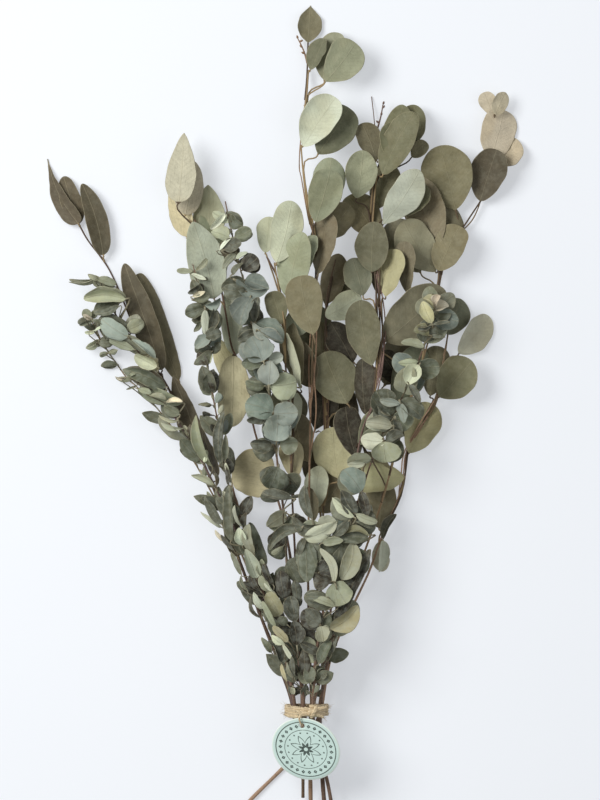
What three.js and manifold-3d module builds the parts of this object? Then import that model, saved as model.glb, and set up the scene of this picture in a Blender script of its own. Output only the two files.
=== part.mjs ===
// A bunch of dried eucalyptus, tied with jute twine and laid down on a surface.
// Millimetres, +Z up. The origin is the flat spot under the tie, +Y runs along the stems to the leaf tips.
import * as THREE from "three";
import { mergeVertices } from "three/addons/utils/BufferGeometryUtils.js";
import Module from "manifold-3d";

const wasm = await Module();
wasm.setup();

// Driving dimensions
const BLADE = 0.75; // thickness of a dried leaf, with its curl taken up
const GAP = 0.45; // clear space between a spray and what carries it
const WELD = 1e-3; // points closer than this become one
const CELL = 1.5; // cell of the height map on which the sprays are laid
const SPACING = 1.4; // longest step between sample points on a surface
const SLOPE = 0.42; // steepest rise of a stem away from a point that carries it
const EASE = 25; // length over which a stem bends at such a point
const RING_STEP = 32; // length of stem between two rings of vertices
const STEM_SIDES = 5;
const STALK = 0.95; // radius of a leaf stalk
const SET_BACK = 0.8; // a stalk leaves the stem this share of its reach nearer the tie
const TWINE = 3; // diameter of the jute twine
const TURNS = 4; // wraps at the tie
const TIE_LOW = -4.5; // lower edge of the wraps
const TIE_HIGH = TIE_LOW + TURNS * TWINE;
const TIE_ROOM = TWINE + 0.5; // height over the surface that the stems keep at the tie
const TIE_SIDES = 18; // flat sides of a wrap round the stems
const FLAT_SPOT = 7; // half width of the flat spot under the tie
const GROOVE = 0.62; // thickness of the wraps between two turns, as a share of the twine
const KNOT_RADIUS = 1.55;
const STRING = 0.85; // radius of the string that holds the tag
const TAG = { radius: 28, thick: 0.8, hole: 2.2, x: -1.6, y: -28, swing: -30, tilt: 30, sides: 16 };
const TAG_HOLE = [-12.4, 17.3]; // along the tag's low line and up its slope, from its middle
const STRING_ROOM = 3.3; // height under the tag for the string's lower strand
const FIELD = { x0: -260, y0: -140, nx: 360, ny: 500 };
const PRESSED = { from: 10, to: 190, least: 0.12 }; // near the tie the leaves are pressed flat

// Leaf forms: the power of the outline at its base and tip, how far the blade cups and arches, the
// heights of its rows of vertices from base to tip, whether it has a row of vertices on its midrib, and
// how far it may stand off the stem to lie clear of the leaves under it.
const FORMS = {
  dollar: {
    base: 0.66, tip: 0.46, cup: 0.16, arch: 0.07, rows: [0, 0.24, 0.58, 0.88], midrib: true, off: 12,
  },
  long: {
    base: 0.55, tip: 0.72, cup: 0.22, arch: 0.06, rows: [0, 0.16, 0.5, 0.82], midrib: true, off: 12,
  },
  baby: { base: 0.46, tip: 0.52, cup: 0.3, arch: 0.12, rows: [0, 0.3, 0.78], midrib: false, off: 4 },
};

const COLOURS = {
  dollar: "#7f8068",
  long: "#6d6a52",
  baby: "#7d8677",
  twine: "#b79a6d",
  tag: "#bcd9cf",
};

// Each spray, from the back of the bunch to its front. stem: points from the cut end to the tip.
// A leaf is [base x, base y, tip x, tip y, width, roll]; roll lifts its right side, in degrees.
// behind: leaves under the stem, nearest first. before: leaves over the stem, nearest first.
// pairs: leaves set in pairs by rule, from and to as shares of the stem's length, the spacing of the
// pairs, and how long and wide a leaf is. Narrow pairs lie close along the stem.
const SPRAYS = [
  {
    name: "silver_dollar_right_low",
    form: "dollar",
    radius: [2.3, 1],
    stem: [
      [-63, -90], [-45, -70], [-15, -40], [0, -18], [10, 0], [18, 42], [34, 80], [49, 112], [58, 137],
      [67, 158], [75, 176], [78, 190], [80, 208], [92, 230], [101, 245], [106, 262], [109, 285],
      [112, 301],
    ],
    behind: [
      [57, 136, 60, 112, 15, 22],
      [98, 253, 104, 293, 24, 14],
      [57, 147, 58, 186, 25, -14],
    ],
    before: [
      [112, 302, 122, 331, 24, -12],
      [81, 207, 99, 247, 29, 12],
      [121, 287, 145, 317, 24, -20],
      [105, 252, 131, 281, 33, 8],
      [77, 188, 38, 189, 28, -30],
    ],
  },
  {
    name: "silver_dollar_right",
    form: "dollar",
    radius: [2.1, 1],
    stem: [
      [0, -28], [3, 0], [17, 50], [37, 105], [58, 165], [75, 225], [90, 275], [101, 315], [107, 352],
      [113, 368], [121, 382], [133, 396], [141, 418], [147, 443], [149, 478],
    ],
    behind: [
      [104, 371, 87, 428, 36, 16],
      [147, 440, 171, 455, 19, 28],
      [70, 250, 92, 292, 30, -15],
      [90, 352, 66, 393, 30, 12],
      [105, 362, 110, 408, 35, 8],
      [82, 258, 58, 288, 22, -14],
    ],
    before: [
      [147, 443, 157, 482, 29, -22],
      [148, 478, 141, 496, 14, 20],
      [150, 478, 158, 496, 14, -18],
      [138, 409, 151, 450, 33, 14],
      [102, 352, 76, 393, 33, -14],
      [104, 353, 121, 389, 27, 14],
      [80, 334, 77, 376, 24, 48],
      [62, 297, 109, 338, 42, -10],
      [118, 402, 105, 453, 40, 8],
    ],
  },
  {
    name: "silver_dollar_centre",
    form: "dollar",
    radius: [1.7, 0.9],
    stem: [
      [-4, -69], [-4, -35], [-4, 0], [3, 60], [10, 120], [13, 180], [15, 240], [14, 290], [15, 330],
      [22, 362],
    ],
    behind: [
      [14, 326, 25, 367, 21, 18],
      [10, 276, 13, 312, 22, -20],
      [6, 226, 14, 262, 26, 20],
      [8, 160, 30, 190, 28, -14],
    ],
    before: [
      [14, 316, 42, 333, 22, -18],
      [36, 280, 18, 312, 24, 14],
      [31, 247, 13, 288, 37, -9],
      [24, 187, 20, 228, 35, 12],
      [6, 162, 9, 197, 20, -16],
      [5, 153, -1, 180, 16, 40],
    ],
  },
  {
    name: "silver_dollar_mid_right",
    form: "dollar",
    radius: [2, 0.8],
    stem: [
      [9, -28], [10, 0], [16, 60], [23, 120], [34, 180], [44, 228], [52, 250], [57, 285], [57, 320],
      [54, 360], [50, 400], [53, 440], [54, 460], [53, 475], [51, 493],
    ],
    twigs: [[54, 462, 60, 486]],
    behind: [
      [83, 444, 95, 456, 13, 10],
      [62, 432, 76, 486, 26, 24],
      [55, 380, 32, 413, 30, -12],
      [46, 238, 44, 283, 24, 42],
      [40, 214, 62, 243, 26, -20],
      [68, 400, 96, 420, 28, 30],
      [54, 402, 66, 440, 25, 12],
      [39, 203, 30, 244, 24, -16],
      [78, 452, 86, 486, 24, 18],
    ],
    before: [
      [55, 441, 43, 471, 22, -18],
      [60, 430, 85, 479, 26, 22],
      [66, 443, 72, 471, 24, 6],
      [39, 411, 44, 449, 26, -8],
      [44, 333, 35, 363, 24, -20],
      [62, 332, 70, 370, 22, 54],
      [51, 352, 53, 392, 27, 10],
      [60, 390, 89, 433, 27, -16],
      [51, 277, 41, 329, 28, 7],
    ],
  },
  {
    name: "silver_dollar_tall",
    form: "dollar",
    radius: [2.4, 0.8],
    stem: [
      [3, -104], [2, -62], [2, -26], [3, 0], [1, 60], [0, 120], [1, 180], [2, 240], [4, 300], [6, 350],
      [5, 378], [0, 396], [-5, 425], [-7, 438], [-5, 468], [-3, 482], [-1, 506], [0, 536],
    ],
    twigs: [[-1, 520, -8, 539]],
    behind: [
      [13, 506, 24, 544, 25, 16],
      [8, 446, 33, 483, 32, -10],
      [7, 400, 19, 443, 28, 12],
      [3, 260, -12, 296, 26, 18],
      [14, 380, 34, 405, 24, -20],
      [1, 200, -10, 238, 24, 14],
    ],
    before: [
      [0, 536, 2, 566, 20, -12],
      [2, 514, 13, 539, 17, 44],
      [14, 504, 38, 535, 31, -8],
      [-4, 452, 22, 491, 30, 12],
      [8, 350, 15, 400, 29, 48],
      [6, 391, 18, 433, 28, -12],
      [4, 302, -6, 348, 30, 6],
    ],
  },
  {
    name: "silver_dollar_pale",
    form: "dollar",
    radius: [1.8, 0.9],
    stem: [
      [-6, -38], [-4, 0], [-7, 60], [-10, 120], [-13, 180], [-15, 240], [-19, 290], [-21, 328],
      [-25, 348], [-33, 364],
    ],
    behind: [
      [-34, 367, -31, 396, 21, 18],
      [-6, 262, -16, 312, 21, 34],
      [-14, 226, -13, 258, 18, -15],
      [-10, 186, -16, 218, 20, 12],
      [-20, 300, 2, 322, 22, -12],
      [-13, 222, -22, 262, 22, 12],
    ],
    before: [
      [-4, 344, 5, 381, 21, 46],
      [-16, 331, -4, 383, 27, 14],
      [-25, 359, -13, 408, 27, -12],
      [-21, 310, -29, 336, 18, 8],
      [-6, 258, -17, 303, 18, 66],
    ],
  },
  {
    name: "long_leaf_dark",
    form: "long",
    radius: [2.2, 1],
    stem: [
      [-12, -30], [-11, 0], [-23, 38], [-37, 74], [-52, 113], [-67, 154], [-80, 190], [-94, 222],
      [-104, 243], [-114, 263], [-128, 285], [-141, 312], [-154, 343], [-163, 360], [-176, 377],
      [-184, 391],
    ],
    behind: [
      [-184, 391, -196, 429, 21, 14],
      [-104, 266, -136, 351, 28, -14],
      [-60, 140, -64, 182, 16, 30],
      [-38, 82, -40, 122, 15, -30],
    ],
    before: [
      [-184, 391, -209, 443, 20, 28],
      [-164, 366, -181, 423, 25, -12],
      [-117, 274, -147, 359, 27, 14],
      [-84, 207, -108, 269, 24, 36],
      [-73, 188, -84, 227, 15, 50],
      [-56, 124, -66, 160, 16, -36],
    ],
  },
  {
    name: "small_leaf_sprig",
    form: "baby",
    radius: [1.4, 0.7],
    stem: [
      [-12, -24], [-11, 0], [-20, 34], [-32, 72], [-47, 112], [-65, 152], [-84, 188], [-102, 218],
      [-120, 242], [-137, 260], [-145, 267], [-153, 278], [-160, 288], [-166, 298], [-172, 310],
      [-176, 319],
    ],
    behind: [],
    before: [
      [-175, 315, -180, 322, 9, 20],
      [-168, 298, -178, 291, 6, 45],
      [-167, 297, -156, 295, 9, 10],
      [-160, 287, -167, 285, 5, 30],
      [-159.5, 287.8, -153, 289, 5, -20],
      [-153, 278, -166, 277, 6, 20],
      [-142, 266, -154, 267, 5, 20],
    ],
    pairs: [
      { from: 0.93, to: 0.985, spacing: 11, long: 10, wide: 5.5 },
      { from: 0.32, to: 0.72, spacing: 42, long: 18, wide: 8, narrow: true },
    ],
  },
  {
    name: "baby_blue_left",
    form: "baby",
    radius: [1.9, 0.8],
    stem: [
      [-10, -34], [-11, 0], [-18, 34], [-29, 70], [-43, 110], [-59, 148], [-76, 184], [-91, 212],
      [-104, 232], [-117, 252], [-127, 272], [-139, 294], [-150, 312], [-160, 328], [-168, 343],
    ],
    behind: [
      [-121, 273, -137, 289, 15, -20],
      [-103, 237, -117, 247, 12, 15],
      [-142, 303, -136, 318, 15, -10],
    ],
    before: [
      [-155, 340, -176, 350, 14, 50],
      [-170, 345, -191, 346, 6, 30],
      [-145, 330, -179, 332, 20, 52],
      [-152, 327, -171, 320, 14, -44],
      [-144, 302, -167, 315, 21, 14],
      [-128, 287, -158, 299, 17, 48],
      [-114, 258, -146, 274, 16, -16],
      [-101, 247, -136, 258, 15, 40],
      [-96, 218, -119, 236, 13, 44],
    ],
    pairs: [{ from: 0.3, to: 0.6, spacing: 36, long: 22, wide: 11, narrow: true }],
  },
  {
    name: "long_leaf_pale",
    form: "long",
    radius: [2.2, 1],
    stem: [
      [-3, -46], [-4, 0], [-7, 58], [-12, 110], [-20, 155], [-33, 196], [-42, 222], [-48, 250],
      [-53, 275], [-61, 292], [-66, 320], [-71, 345], [-80, 372], [-91, 394],
    ],
    behind: [
      [-98, 398, -91, 441, 23, -14],
      [-97, 381, -108, 421, 19, 26],
      [-82, 374, -80, 422, 27, 10],
      [-58, 286, -62, 347, 19, 20],
      [-72, 345, -84, 404, 24, -24],
      [-52, 258, -76, 302, 20, 12],
    ],
    before: [
      [-103, 408, -99, 463, 26, 10],
      [-75, 331, -92, 392, 33, -10],
      [-60, 285, -62, 228, 27, 8],
      [-27, 188, -61, 192, 40, -8],
    ],
  },
  {
    name: "baby_blue_curled",
    form: "baby",
    radius: [1.8, 0.7],
    stem: [
      [-9, -26], [-10, 0], [-15, 30], [-27, 70], [-42, 116], [-56, 164], [-67, 208], [-75, 248],
      [-80, 276], [-80, 300], [-84, 325], [-88, 342], [-92, 358],
    ],
    behind: [],
    before: [
      [-76, 326, -98, 319, 13, 10],
      [-79, 322, -73, 305, 13, 40],
      [-79, 296, -90, 288, 15, 30],
      [-84, 297, -70, 304, 16, -10],
      [-77, 288, -91, 278, 9, 20],
      [-77, 270, -82, 256, 13, 40],
    ],
    pairs: [
      { from: 0.88, to: 0.985, spacing: 18, long: 12, wide: 8 },
      { from: 0.14, to: 0.73, spacing: 35, long: 22, wide: 12, narrow: true },
    ],
  },
  {
    name: "baby_blue_right",
    form: "baby",
    radius: [2, 0.8],
    stem: [
      [15, -96], [12, -60], [10, -26], [9, 0], [15, 38], [23, 78], [30, 122], [35, 150], [43, 178],
      [52, 205], [62, 228], [73, 248], [80, 262], [87, 278], [94, 298], [98, 310], [104, 327],
    ],
    behind: [],
    before: [
      [100, 316, 96, 340, 15, 20],
      [103, 322, 116, 334, 15, -24],
      [101, 318, 114, 318, 13, 20],
      [42, 177, 27, 194, 24, 12],
      [66, 236, 46, 229, 19, -16],
      [58, 218, 42, 218, 18, 20],
      [58, 215, 75, 204, 22, 10],
      [50, 203, 31, 200, 12, 30],
    ],
    pairs: [
      { from: 0.77, to: 0.97, spacing: 25, long: 22, wide: 19 },
      { from: 0.48, to: 0.56, spacing: 18, long: 20, wide: 15 },
    ],
  },
  {
    name: "baby_blue_low_right",
    form: "baby",
    radius: [1.7, 0.9],
    stem: [
      [21, -88], [16, -58], [8, -26], [4, 0], [11, 36], [21, 70], [24, 104], [33, 132], [36, 156],
      [42, 178], [44, 196],
    ],
    behind: [
      [40, 170, 44, 150, 20, 20],
      [30, 130, 46, 112, 24, -20],
    ],
    before: [
      [22, 62, 37, 90, 19, 18],
      [36, 156, 20, 172, 17, 40],
      [37, 158, 54, 150, 15, 30],
      [20, 141, 48, 140, 17, 34],
      [24, 109, 35, 137, 21, -16],
      [28, 128, 10, 137, 16, 36],
      [21, 104, 10, 131, 16, 40],
      [21, 102, 28, 86, 24, 8],
      [22, 106, 32, 122, 20, -14],
    ],
    pairs: [{ from: 0.47, to: 0.54, spacing: 20, long: 18, wide: 12 }],
  },
  {
    name: "baby_blue_front",
    form: "baby",
    radius: [2.1, 0.8],
    stem: [
      [0, -40], [-3, 0], [-8, 50], [-14, 98], [-17, 122], [-20, 165], [-25, 205], [-28, 240],
      [-33, 266], [-40, 298], [-48, 332], [-56, 362], [-61, 384], [-66, 408],
    ],
    behind: [
      [-46, 322, -38, 308, 17, 20],
      [-40, 300, -56, 300, 17, -12],
      [-34, 276, -49, 276, 20, 14],
      [-30, 256, -49, 264, 19, -10],
      [-27, 232, -8, 238, 20, 14],
      [-26, 208, -44, 214, 20, 10],
      [-22, 182, -7, 184, 16, -18],
      [-18, 134, -32, 128, 18, 14],
      [-15, 104, -28, 96, 20, -10],
    ],
    before: [
      [-65, 399, -52, 388, 9, 30],
      [-62, 392, -76, 399, 9, -20],
      [-61, 384, -77, 383, 9, 20],
      [-59, 378, -44, 382, 9, -15],
      [-55, 366, -70, 374, 14, 30],
      [-55, 360, -38, 354, 14, -30],
      [-51, 345, -69, 338, 16, 12],
      [-50, 345, -31, 338, 17, -14],
      [-47, 331, -53, 309, 23, 14],
      [-41, 311, -20, 295, 17, 26],
      [-30, 283, -55, 292, 23, -10],
      [-31, 261, -30, 283, 24, 10],
      [-30, 259, -10, 266, 22, -14],
      [-28, 240, -50, 246, 25, 12],
      [-27, 240, -9, 236, 19, 18],
      [-25, 214, -25, 238, 25, -8],
      [-24, 196, -30, 179, 25, 26],
      [-20, 178, -38, 172, 15, 40],
      [-18, 160, -33, 149, 14, 30],
      [-17, 156, 1, 150, 16, -36],
      [-17, 144, -31, 134, 16, 20],
      [-16, 122, 0, 106, 19, 12],
      [-15, 112, -27, 108, 15, 34],
    ],
    pairs: [{ from: 0.15, to: 0.27, spacing: 17, long: 19, wide: 14 }],
  },
  {
    name: "baby_blue_low",
    form: "baby",
    radius: [1.6, 0.9],
    stem: [[6, -24], [4, 0], [5, 32], [9, 66], [12, 84], [8, 112], [6, 136], [7, 152]],
    behind: [
      [4, 56, -12, 72, 17, 10],
      [4, 44, 16, 58, 14, -20],
    ],
    before: [
      [8, 152, -5, 142, 17, 12],
      [8, 150, 23, 152, 16, -16],
      [5, 137, -2, 107, 19, 14],
      [9, 113, 20, 118, 16, 22],
      [18, 86, -3, 95, 16, 28],
      [10, 70, -5, 82, 18, -16],
      [9, 69, 16, 59, 15, 20],
      [9, 66, 18, 64, 12, 30],
    ],
    pairs: [{ from: 0.28, to: 0.5, spacing: 14, long: 16, wide: 11 }],
  },
];

const vec = (x, y, z) => new THREE.Vector3(x, y, z);
const radians = THREE.MathUtils.degToRad;

// Numbers of chance between 0 and 1, the same on each run: 16807 times the last, modulo a prime.
function chance(seed) {
  let state = seed;
  return () => {
    state = (state * 16807) % 2147483647;
    return state / 2147483647;
  };
}

// A height map, one number for each cell, with the highest surface point over that cell.
function field(level) {
  return new Float64Array(FIELD.nx * FIELD.ny).fill(level);
}

function cellOf(p) {
  return [Math.floor((p.x - FIELD.x0) / CELL), Math.floor((p.y - FIELD.y0) / CELL)];
}

// Points on every triangle of a solid, on a lattice with steps of at most SPACING.
function samples(solid) {
  const { points, faces } = solid;
  const reach = Math.max(...faces.map(([a, b, c]) => Math.max(
    points[a].distanceTo(points[b]), points[b].distanceTo(points[c]), points[c].distanceTo(points[a]))));
  const n = Math.ceil(reach / SPACING);
  const found = [];
  for (const [a, b, c] of faces)
    for (let i = 0; i <= n; i++)
      for (let j = 0; j <= n - i; j++)
        found.push(vec(0, 0, 0)
          .addScaledVector(points[a], i / n)
          .addScaledVector(points[b], j / n)
          .addScaledVector(points[c], (n - i - j) / n));
  return found;
}

// The rise that brings every sample GAP clear of the map. side is 1 above the map, -1 below it.
function rise(found, map, side) {
  let most = -Infinity;
  for (const p of found) {
    const [i, j] = cellOf(p);
    most = Math.max(most, map[j * FIELD.nx + i] + GAP - side * p.z);
  }
  return most;
}

// Raises the map to the samples, in their own cell and the eight round it.
function stamp(found, map, side, lift) {
  for (const p of found) {
    const [i, j] = cellOf(p);
    const height = side * (p.z + lift);
    for (let di = -1; di <= 1; di++)
      for (let dj = -1; dj <= 1; dj++) {
        const k = (j + dj) * FIELD.nx + i + di;
        if (map[k] < height) map[k] = height;
      }
  }
}

// A leaf: a stalk from its foot to the base of the blade, and the blade. The middle surface of the blade
// runs from base to tip, rolled about that line. Its half width is width/2 times v^base (1-v)^tip over that
// product's peak. It cups by the square across and arches along. The ring between stalk and blade is square
// to the line halfway between their directions.
function leafSolid(leaf, form, foot) {
  const along = leaf.tip.clone().sub(leaf.base).setZ(0);
  along.z = along.length() * Math.tan(leaf.pitch);
  const length = along.length();
  along.normalize();
  const level = vec(along.y, -along.x, 0).normalize();
  const face = new THREE.Vector3().crossVectors(level, along);
  const across = level.clone().multiplyScalar(Math.cos(leaf.roll)).addScaledVector(face, Math.sin(leaf.roll));
  const normal = new THREE.Vector3().crossVectors(across, along);
  const stalk = leaf.base.clone().sub(foot).normalize();
  const bend = along.clone().add(stalk).normalize();
  const neckAcross = across.clone().addScaledVector(bend, -across.dot(bend)).normalize();
  const neckNormal = new THREE.Vector3().crossVectors(neckAcross, bend);
  const peak = form.base / (form.base + form.tip);
  const norm = peak ** form.base * (1 - peak) ** form.tip;
  const at = (u, v, side) => {
    const swell = (v ** form.base * (1 - v) ** form.tip) / norm;
    const half = Math.max(v > 0.5 ? 0 : STALK, (leaf.width / 2) * swell);
    const high = leaf.cup * half * u * u + leaf.arch * length * 4 * v * (1 - v);
    return leaf.base.clone()
      .addScaledVector(along, length * v)
      .addScaledVector(v > 0 ? across : neckAcross, half * u)
      .addScaledVector(v > 0 ? normal : neckNormal, high + (side * (v > 0 ? BLADE : 1.5 * STALK)) / 2);
  };
  const columns = form.midrib ? [-1, 0, 1] : [-1, 1];
  const around = [...columns.map((u) => [u, 1]), ...columns.slice().reverse().map((u) => [u, -1])];
  const ring = around.length;
  const points = form.rows.flatMap((v) => around.map(([u, side]) => at(u, v, side)));
  points.push(foot.clone(), at(0, 1, 0));
  const [root, top] = [points.length - 2, points.length - 1];
  const last = (form.rows.length - 1) * ring;
  const faces = [];
  around.forEach(([, side], i) => {
    const next = (i + 1) % ring;
    for (let k = 0; k < last; k += ring) {
      const [a, b, c, d] = [k + i, k + next, k + ring + next, k + ring + i];
      if (side > 0) faces.push([a, c, b], [a, d, c]);
      else faces.push([a, d, b], [b, d, c]);
    }
    faces.push([root, i, next], [top, last + next, last + i]);
  });
  return { points, faces: outward(points, faces) };
}

// The faces turned so that they point out of the solid.
function outward(points, faces) {
  const volume = faces.reduce((sum, [a, b, c]) =>
    sum + points[a].dot(new THREE.Vector3().crossVectors(points[b], points[c])), 0);
  return volume > 0 ? faces : faces.map(([a, b, c]) => [a, c, b]);
}

// A tube of round section through the centres, with its own radius at each, closed at both ends.
function tube(centres, radii, sides) {
  const points = [];
  let normal = vec(0, 0, 1);
  centres.forEach((centre, k) => {
    const heading = centres[Math.min(k + 1, centres.length - 1)].clone()
      .sub(centres[Math.max(k - 1, 0)]).normalize();
    normal = normal.clone().addScaledVector(heading, -normal.dot(heading)).normalize();
    const side = new THREE.Vector3().crossVectors(heading, normal);
    for (let i = 0; i < sides; i++) {
      const turn = (2 * Math.PI * i) / sides;
      points.push(centre.clone()
        .addScaledVector(normal, radii[k] * Math.cos(turn))
        .addScaledVector(side, radii[k] * Math.sin(turn)));
    }
  });
  const faces = [];
  const last = (centres.length - 1) * sides;
  for (let i = 0; i < sides; i++) {
    const next = (i + 1) % sides;
    for (let k = 0; k < last; k += sides)
      faces.push([k + i, k + next, k + sides + next], [k + i, k + sides + next, k + sides + i]);
    if (i > 0 && next > 0) faces.push([0, next, i], [last, last + i, last + next]);
  }
  return { points, faces: outward(points, faces) };
}

// The rings of a stem: points on a smooth curve through the route, and the distance along it.
function rings(spray) {
  const route = spray.stem.map(([x, y]) => vec(x, y, 0));
  const curve = new THREE.CatmullRomCurve3(route, false, "catmullrom", 0.5);
  const spans = spray.stem.length - 1;
  const centres = [];
  for (let k = 0; k < spans; k++) {
    const [from, to] = [spray.stem[k], spray.stem[k + 1]];
    const steps = Math.max(1, Math.round(Math.hypot(to[0] - from[0], to[1] - from[1]) / RING_STEP));
    for (let i = 0; i < steps; i++) centres.push(curve.getPoint((k + i / steps) / spans));
  }
  centres.push(curve.getPoint(1));
  const reach = [0];
  centres.slice(1).forEach((c, k) => reach.push(reach[k] + c.distanceTo(centres[k])));
  const [thick, thin] = spray.radius;
  const radii = reach.map((s) => thick + (thin - thick) * (s / reach[reach.length - 1]) ** 0.5);
  return { centres, reach, radii };
}

// The place at a distance along the stem: the ring before it, the share to the next one, and the point.
function place(stem, s) {
  const end = stem.reach.length - 2;
  let k = 0;
  while (k < end && stem.reach[k + 1] < s) k++;
  const share = Math.min(1, Math.max(0, (s - stem.reach[k]) / (stem.reach[k + 1] - stem.reach[k])));
  return { k, share, point: stem.centres[k].clone().lerp(stem.centres[k + 1], share) };
}

// Where a stalk that reaches to a point leaves the stem: back from the nearest place on it.
function foothold(stem, target) {
  let best = { far: Infinity, s: 0 };
  for (let k = 0; k + 1 < stem.reach.length; k++) {
    const run = stem.centres[k + 1].clone().sub(stem.centres[k]);
    const share = Math.min(1, Math.max(0, target.clone().sub(stem.centres[k]).dot(run) / run.lengthSq()));
    const far = stem.centres[k].clone().addScaledVector(run, share).distanceTo(target);
    if (far < best.far - 1e-9) best = { far, s: stem.reach[k] + share * run.length() };
  }
  return place(stem, Math.max(0, best.s - SET_BACK * best.far));
}

// How freely a leaf stands at a height along the bunch, from pressed flat at the tie to 1.
function freedom(y) {
  const share = (y - PRESSED.from) / (PRESSED.to - PRESSED.from);
  return Math.min(1, Math.max(PRESSED.least, share));
}

// A leaf from a row of the table, with its own small share of chance in pitch, cup and arch.
function leafOf([x0, y0, x1, y1, width, roll], stem, form, draw, side) {
  const base = vec(x0, y0, 0);
  const free = freedom(y0);
  return {
    base,
    tip: vec(x1, y1, 0),
    width,
    roll: radians(roll) * free,
    pitch: radians(side * 3 + 18 * (draw() - 0.5)) * free,
    cup: form.cup * (2.4 * draw() - 0.9) * free,
    arch: form.arch * (2 * draw() - 0.6) * free,
    foot: foothold(stem, base),
  };
}

// Pairs of leaves along a stem. Each pair is turned a quarter from the last: one pair spreads to the
// left and right, the next has one leaf over the stem and one under it.
function pairedLeaves(stem, { from, to, spacing, long, wide, narrow }, form, draw) {
  const total = stem.reach[stem.reach.length - 1];
  const leaves = [];
  const count = Math.max(1, Math.round(((to - from) * total) / spacing));
  for (let i = 0; i <= count; i++) {
    const foot = place(stem, total * (from + ((to - from) * i) / count));
    const run = stem.centres[foot.k + 1].clone().sub(stem.centres[foot.k]);
    const heading = Math.atan2(run.y, run.x);
    const spread = i % 2 === 0;
    const free = freedom(foot.point.y);
    for (const side of [-1, 1]) {
      const size = 0.8 + 0.4 * draw();
      const open = (spread ? 52 : 8) + (spread ? 26 : 20) * draw();
      const turn = heading + side * radians(narrow ? 0.55 * open : open);
      const away = vec(Math.cos(turn), Math.sin(turn), 0);
      leaves.push({
        base: foot.point.clone().addScaledVector(away, stem.radii[foot.k] + STALK),
        tip: foot.point.clone().addScaledVector(away, long * size),
        width: wide * size,
        roll: radians(36 * (draw() - 0.5)) * free,
        pitch: radians(spread ? 8 * (draw() - 0.5) : side * (20 + 12 * draw())) * free,
        cup: form.cup * (1.6 * draw() - 0.3) * free,
        arch: form.arch * (2 * draw() - 0.8) * free,
        foot,
      });
    }
  }
  return leaves;
}

// Sets the leaves of one side of a spray in layers away from the stem, each clear of the ones before it.
function layer(leaves, form, map, side) {
  for (const leaf of leaves) {
    const found = samples(leafSolid(leaf, form, leaf.base));
    const offset = side * Math.min(form.off, Math.max(0, rise(found, map, side)));
    leaf.base.z += offset;
    stamp(found, map, side, offset);
  }
}

// The leaves and twigs of a spray, each with the place on the stem where it is rooted.
function growth(spray, stem, draw) {
  const form = FORMS[spray.form];
  const over = spray.before.map((row) => leafOf(row, stem, form, draw, 1));
  const under = spray.behind.map((row) => leafOf(row, stem, form, draw, -1));
  const bark = samples(tube(stem.centres, stem.radii, STEM_SIDES));
  for (const [leaves, side] of [[over, 1], [under, -1]]) {
    const local = field(-Infinity);
    stamp(bark, local, side, 0);
    layer(leaves, form, local, side);
  }
  const paired = (spray.pairs || []).flatMap((pairs) => pairedLeaves(stem, pairs, form, draw));
  const pieces = [...over, ...under, ...paired].map((leaf) => (
    { foot: leaf.foot, solid: leafSolid(leaf, form, leaf.foot.point) }));
  for (const [x0, y0, x1, y1] of spray.twigs || []) {
    const foot = foothold(stem, vec(x0, y0, 0));
    pieces.push({ foot, solid: tube([foot.point, vec(x1, y1, 2)], [0.8, 0.5], 3) });
  }
  return pieces;
}

// Lays a spray on the map. Each ring of the stem gets a lift: the most that any stretch of stem, leaf or
// twig needs, less what the stem falls on its way from there. The spray's own top goes onto the map.
function lay(spray, map, seed) {
  const stem = rings(spray);
  const pieces = growth(spray, stem, chance(seed));
  const needs = stem.reach.map(() => -Infinity);
  const need = (k, found) => {
    const most = rise(found, map, 1);
    needs[k] = Math.max(needs[k], most);
    needs[k + 1] = Math.max(needs[k + 1], most);
  };
  for (let k = 0; k + 1 < stem.centres.length; k++)
    need(k, samples(tube(stem.centres.slice(k, k + 2), stem.radii.slice(k, k + 2), STEM_SIDES)));
  for (const piece of pieces) {
    piece.found = samples(piece.solid);
    need(piece.foot.k, piece.found);
  }
  const fall = (d) => SLOPE * (Math.hypot(d, EASE) - EASE);
  const lifts = stem.reach.map((s) => Math.max(...needs.map((n, j) => n - fall(s - stem.reach[j]))));
  const raised = stem.centres.map((c, k) => c.clone().setZ(lifts[k]));
  const trunk = tube(raised, stem.radii, STEM_SIDES);
  stamp(samples(trunk), map, 1, 0);
  for (const { foot, solid, found } of pieces) {
    const lift = lifts[foot.k] + (lifts[foot.k + 1] - lifts[foot.k]) * foot.share;
    stamp(found, map, 1, lift);
    solid.points.forEach((p) => (p.z += lift));
  }
  const solids = [trunk, ...pieces.map((piece) => piece.solid)];
  return { name: spray.name, form: spray.form, solids, centres: raised, radii: stem.radii };
}

// A geometry from points and faces.
function geometryOf(solid) {
  const geometry = new THREE.BufferGeometry();
  geometry.setFromPoints(solid.points);
  geometry.setIndex(solid.faces.flat());
  return geometry;
}

// A closed geometry as a solid that can be joined and cut.
function manifoldOf(geometry) {
  const bare = geometry.clone();
  bare.deleteAttribute("normal");
  bare.deleteAttribute("uv");
  const merged = mergeVertices(bare, 1e-4);
  return new wasm.Manifold(new wasm.Mesh({
    numProp: 3,
    vertProperties: merged.attributes.position.array,
    triVerts: new Uint32Array(merged.index.array),
  }));
}

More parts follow.
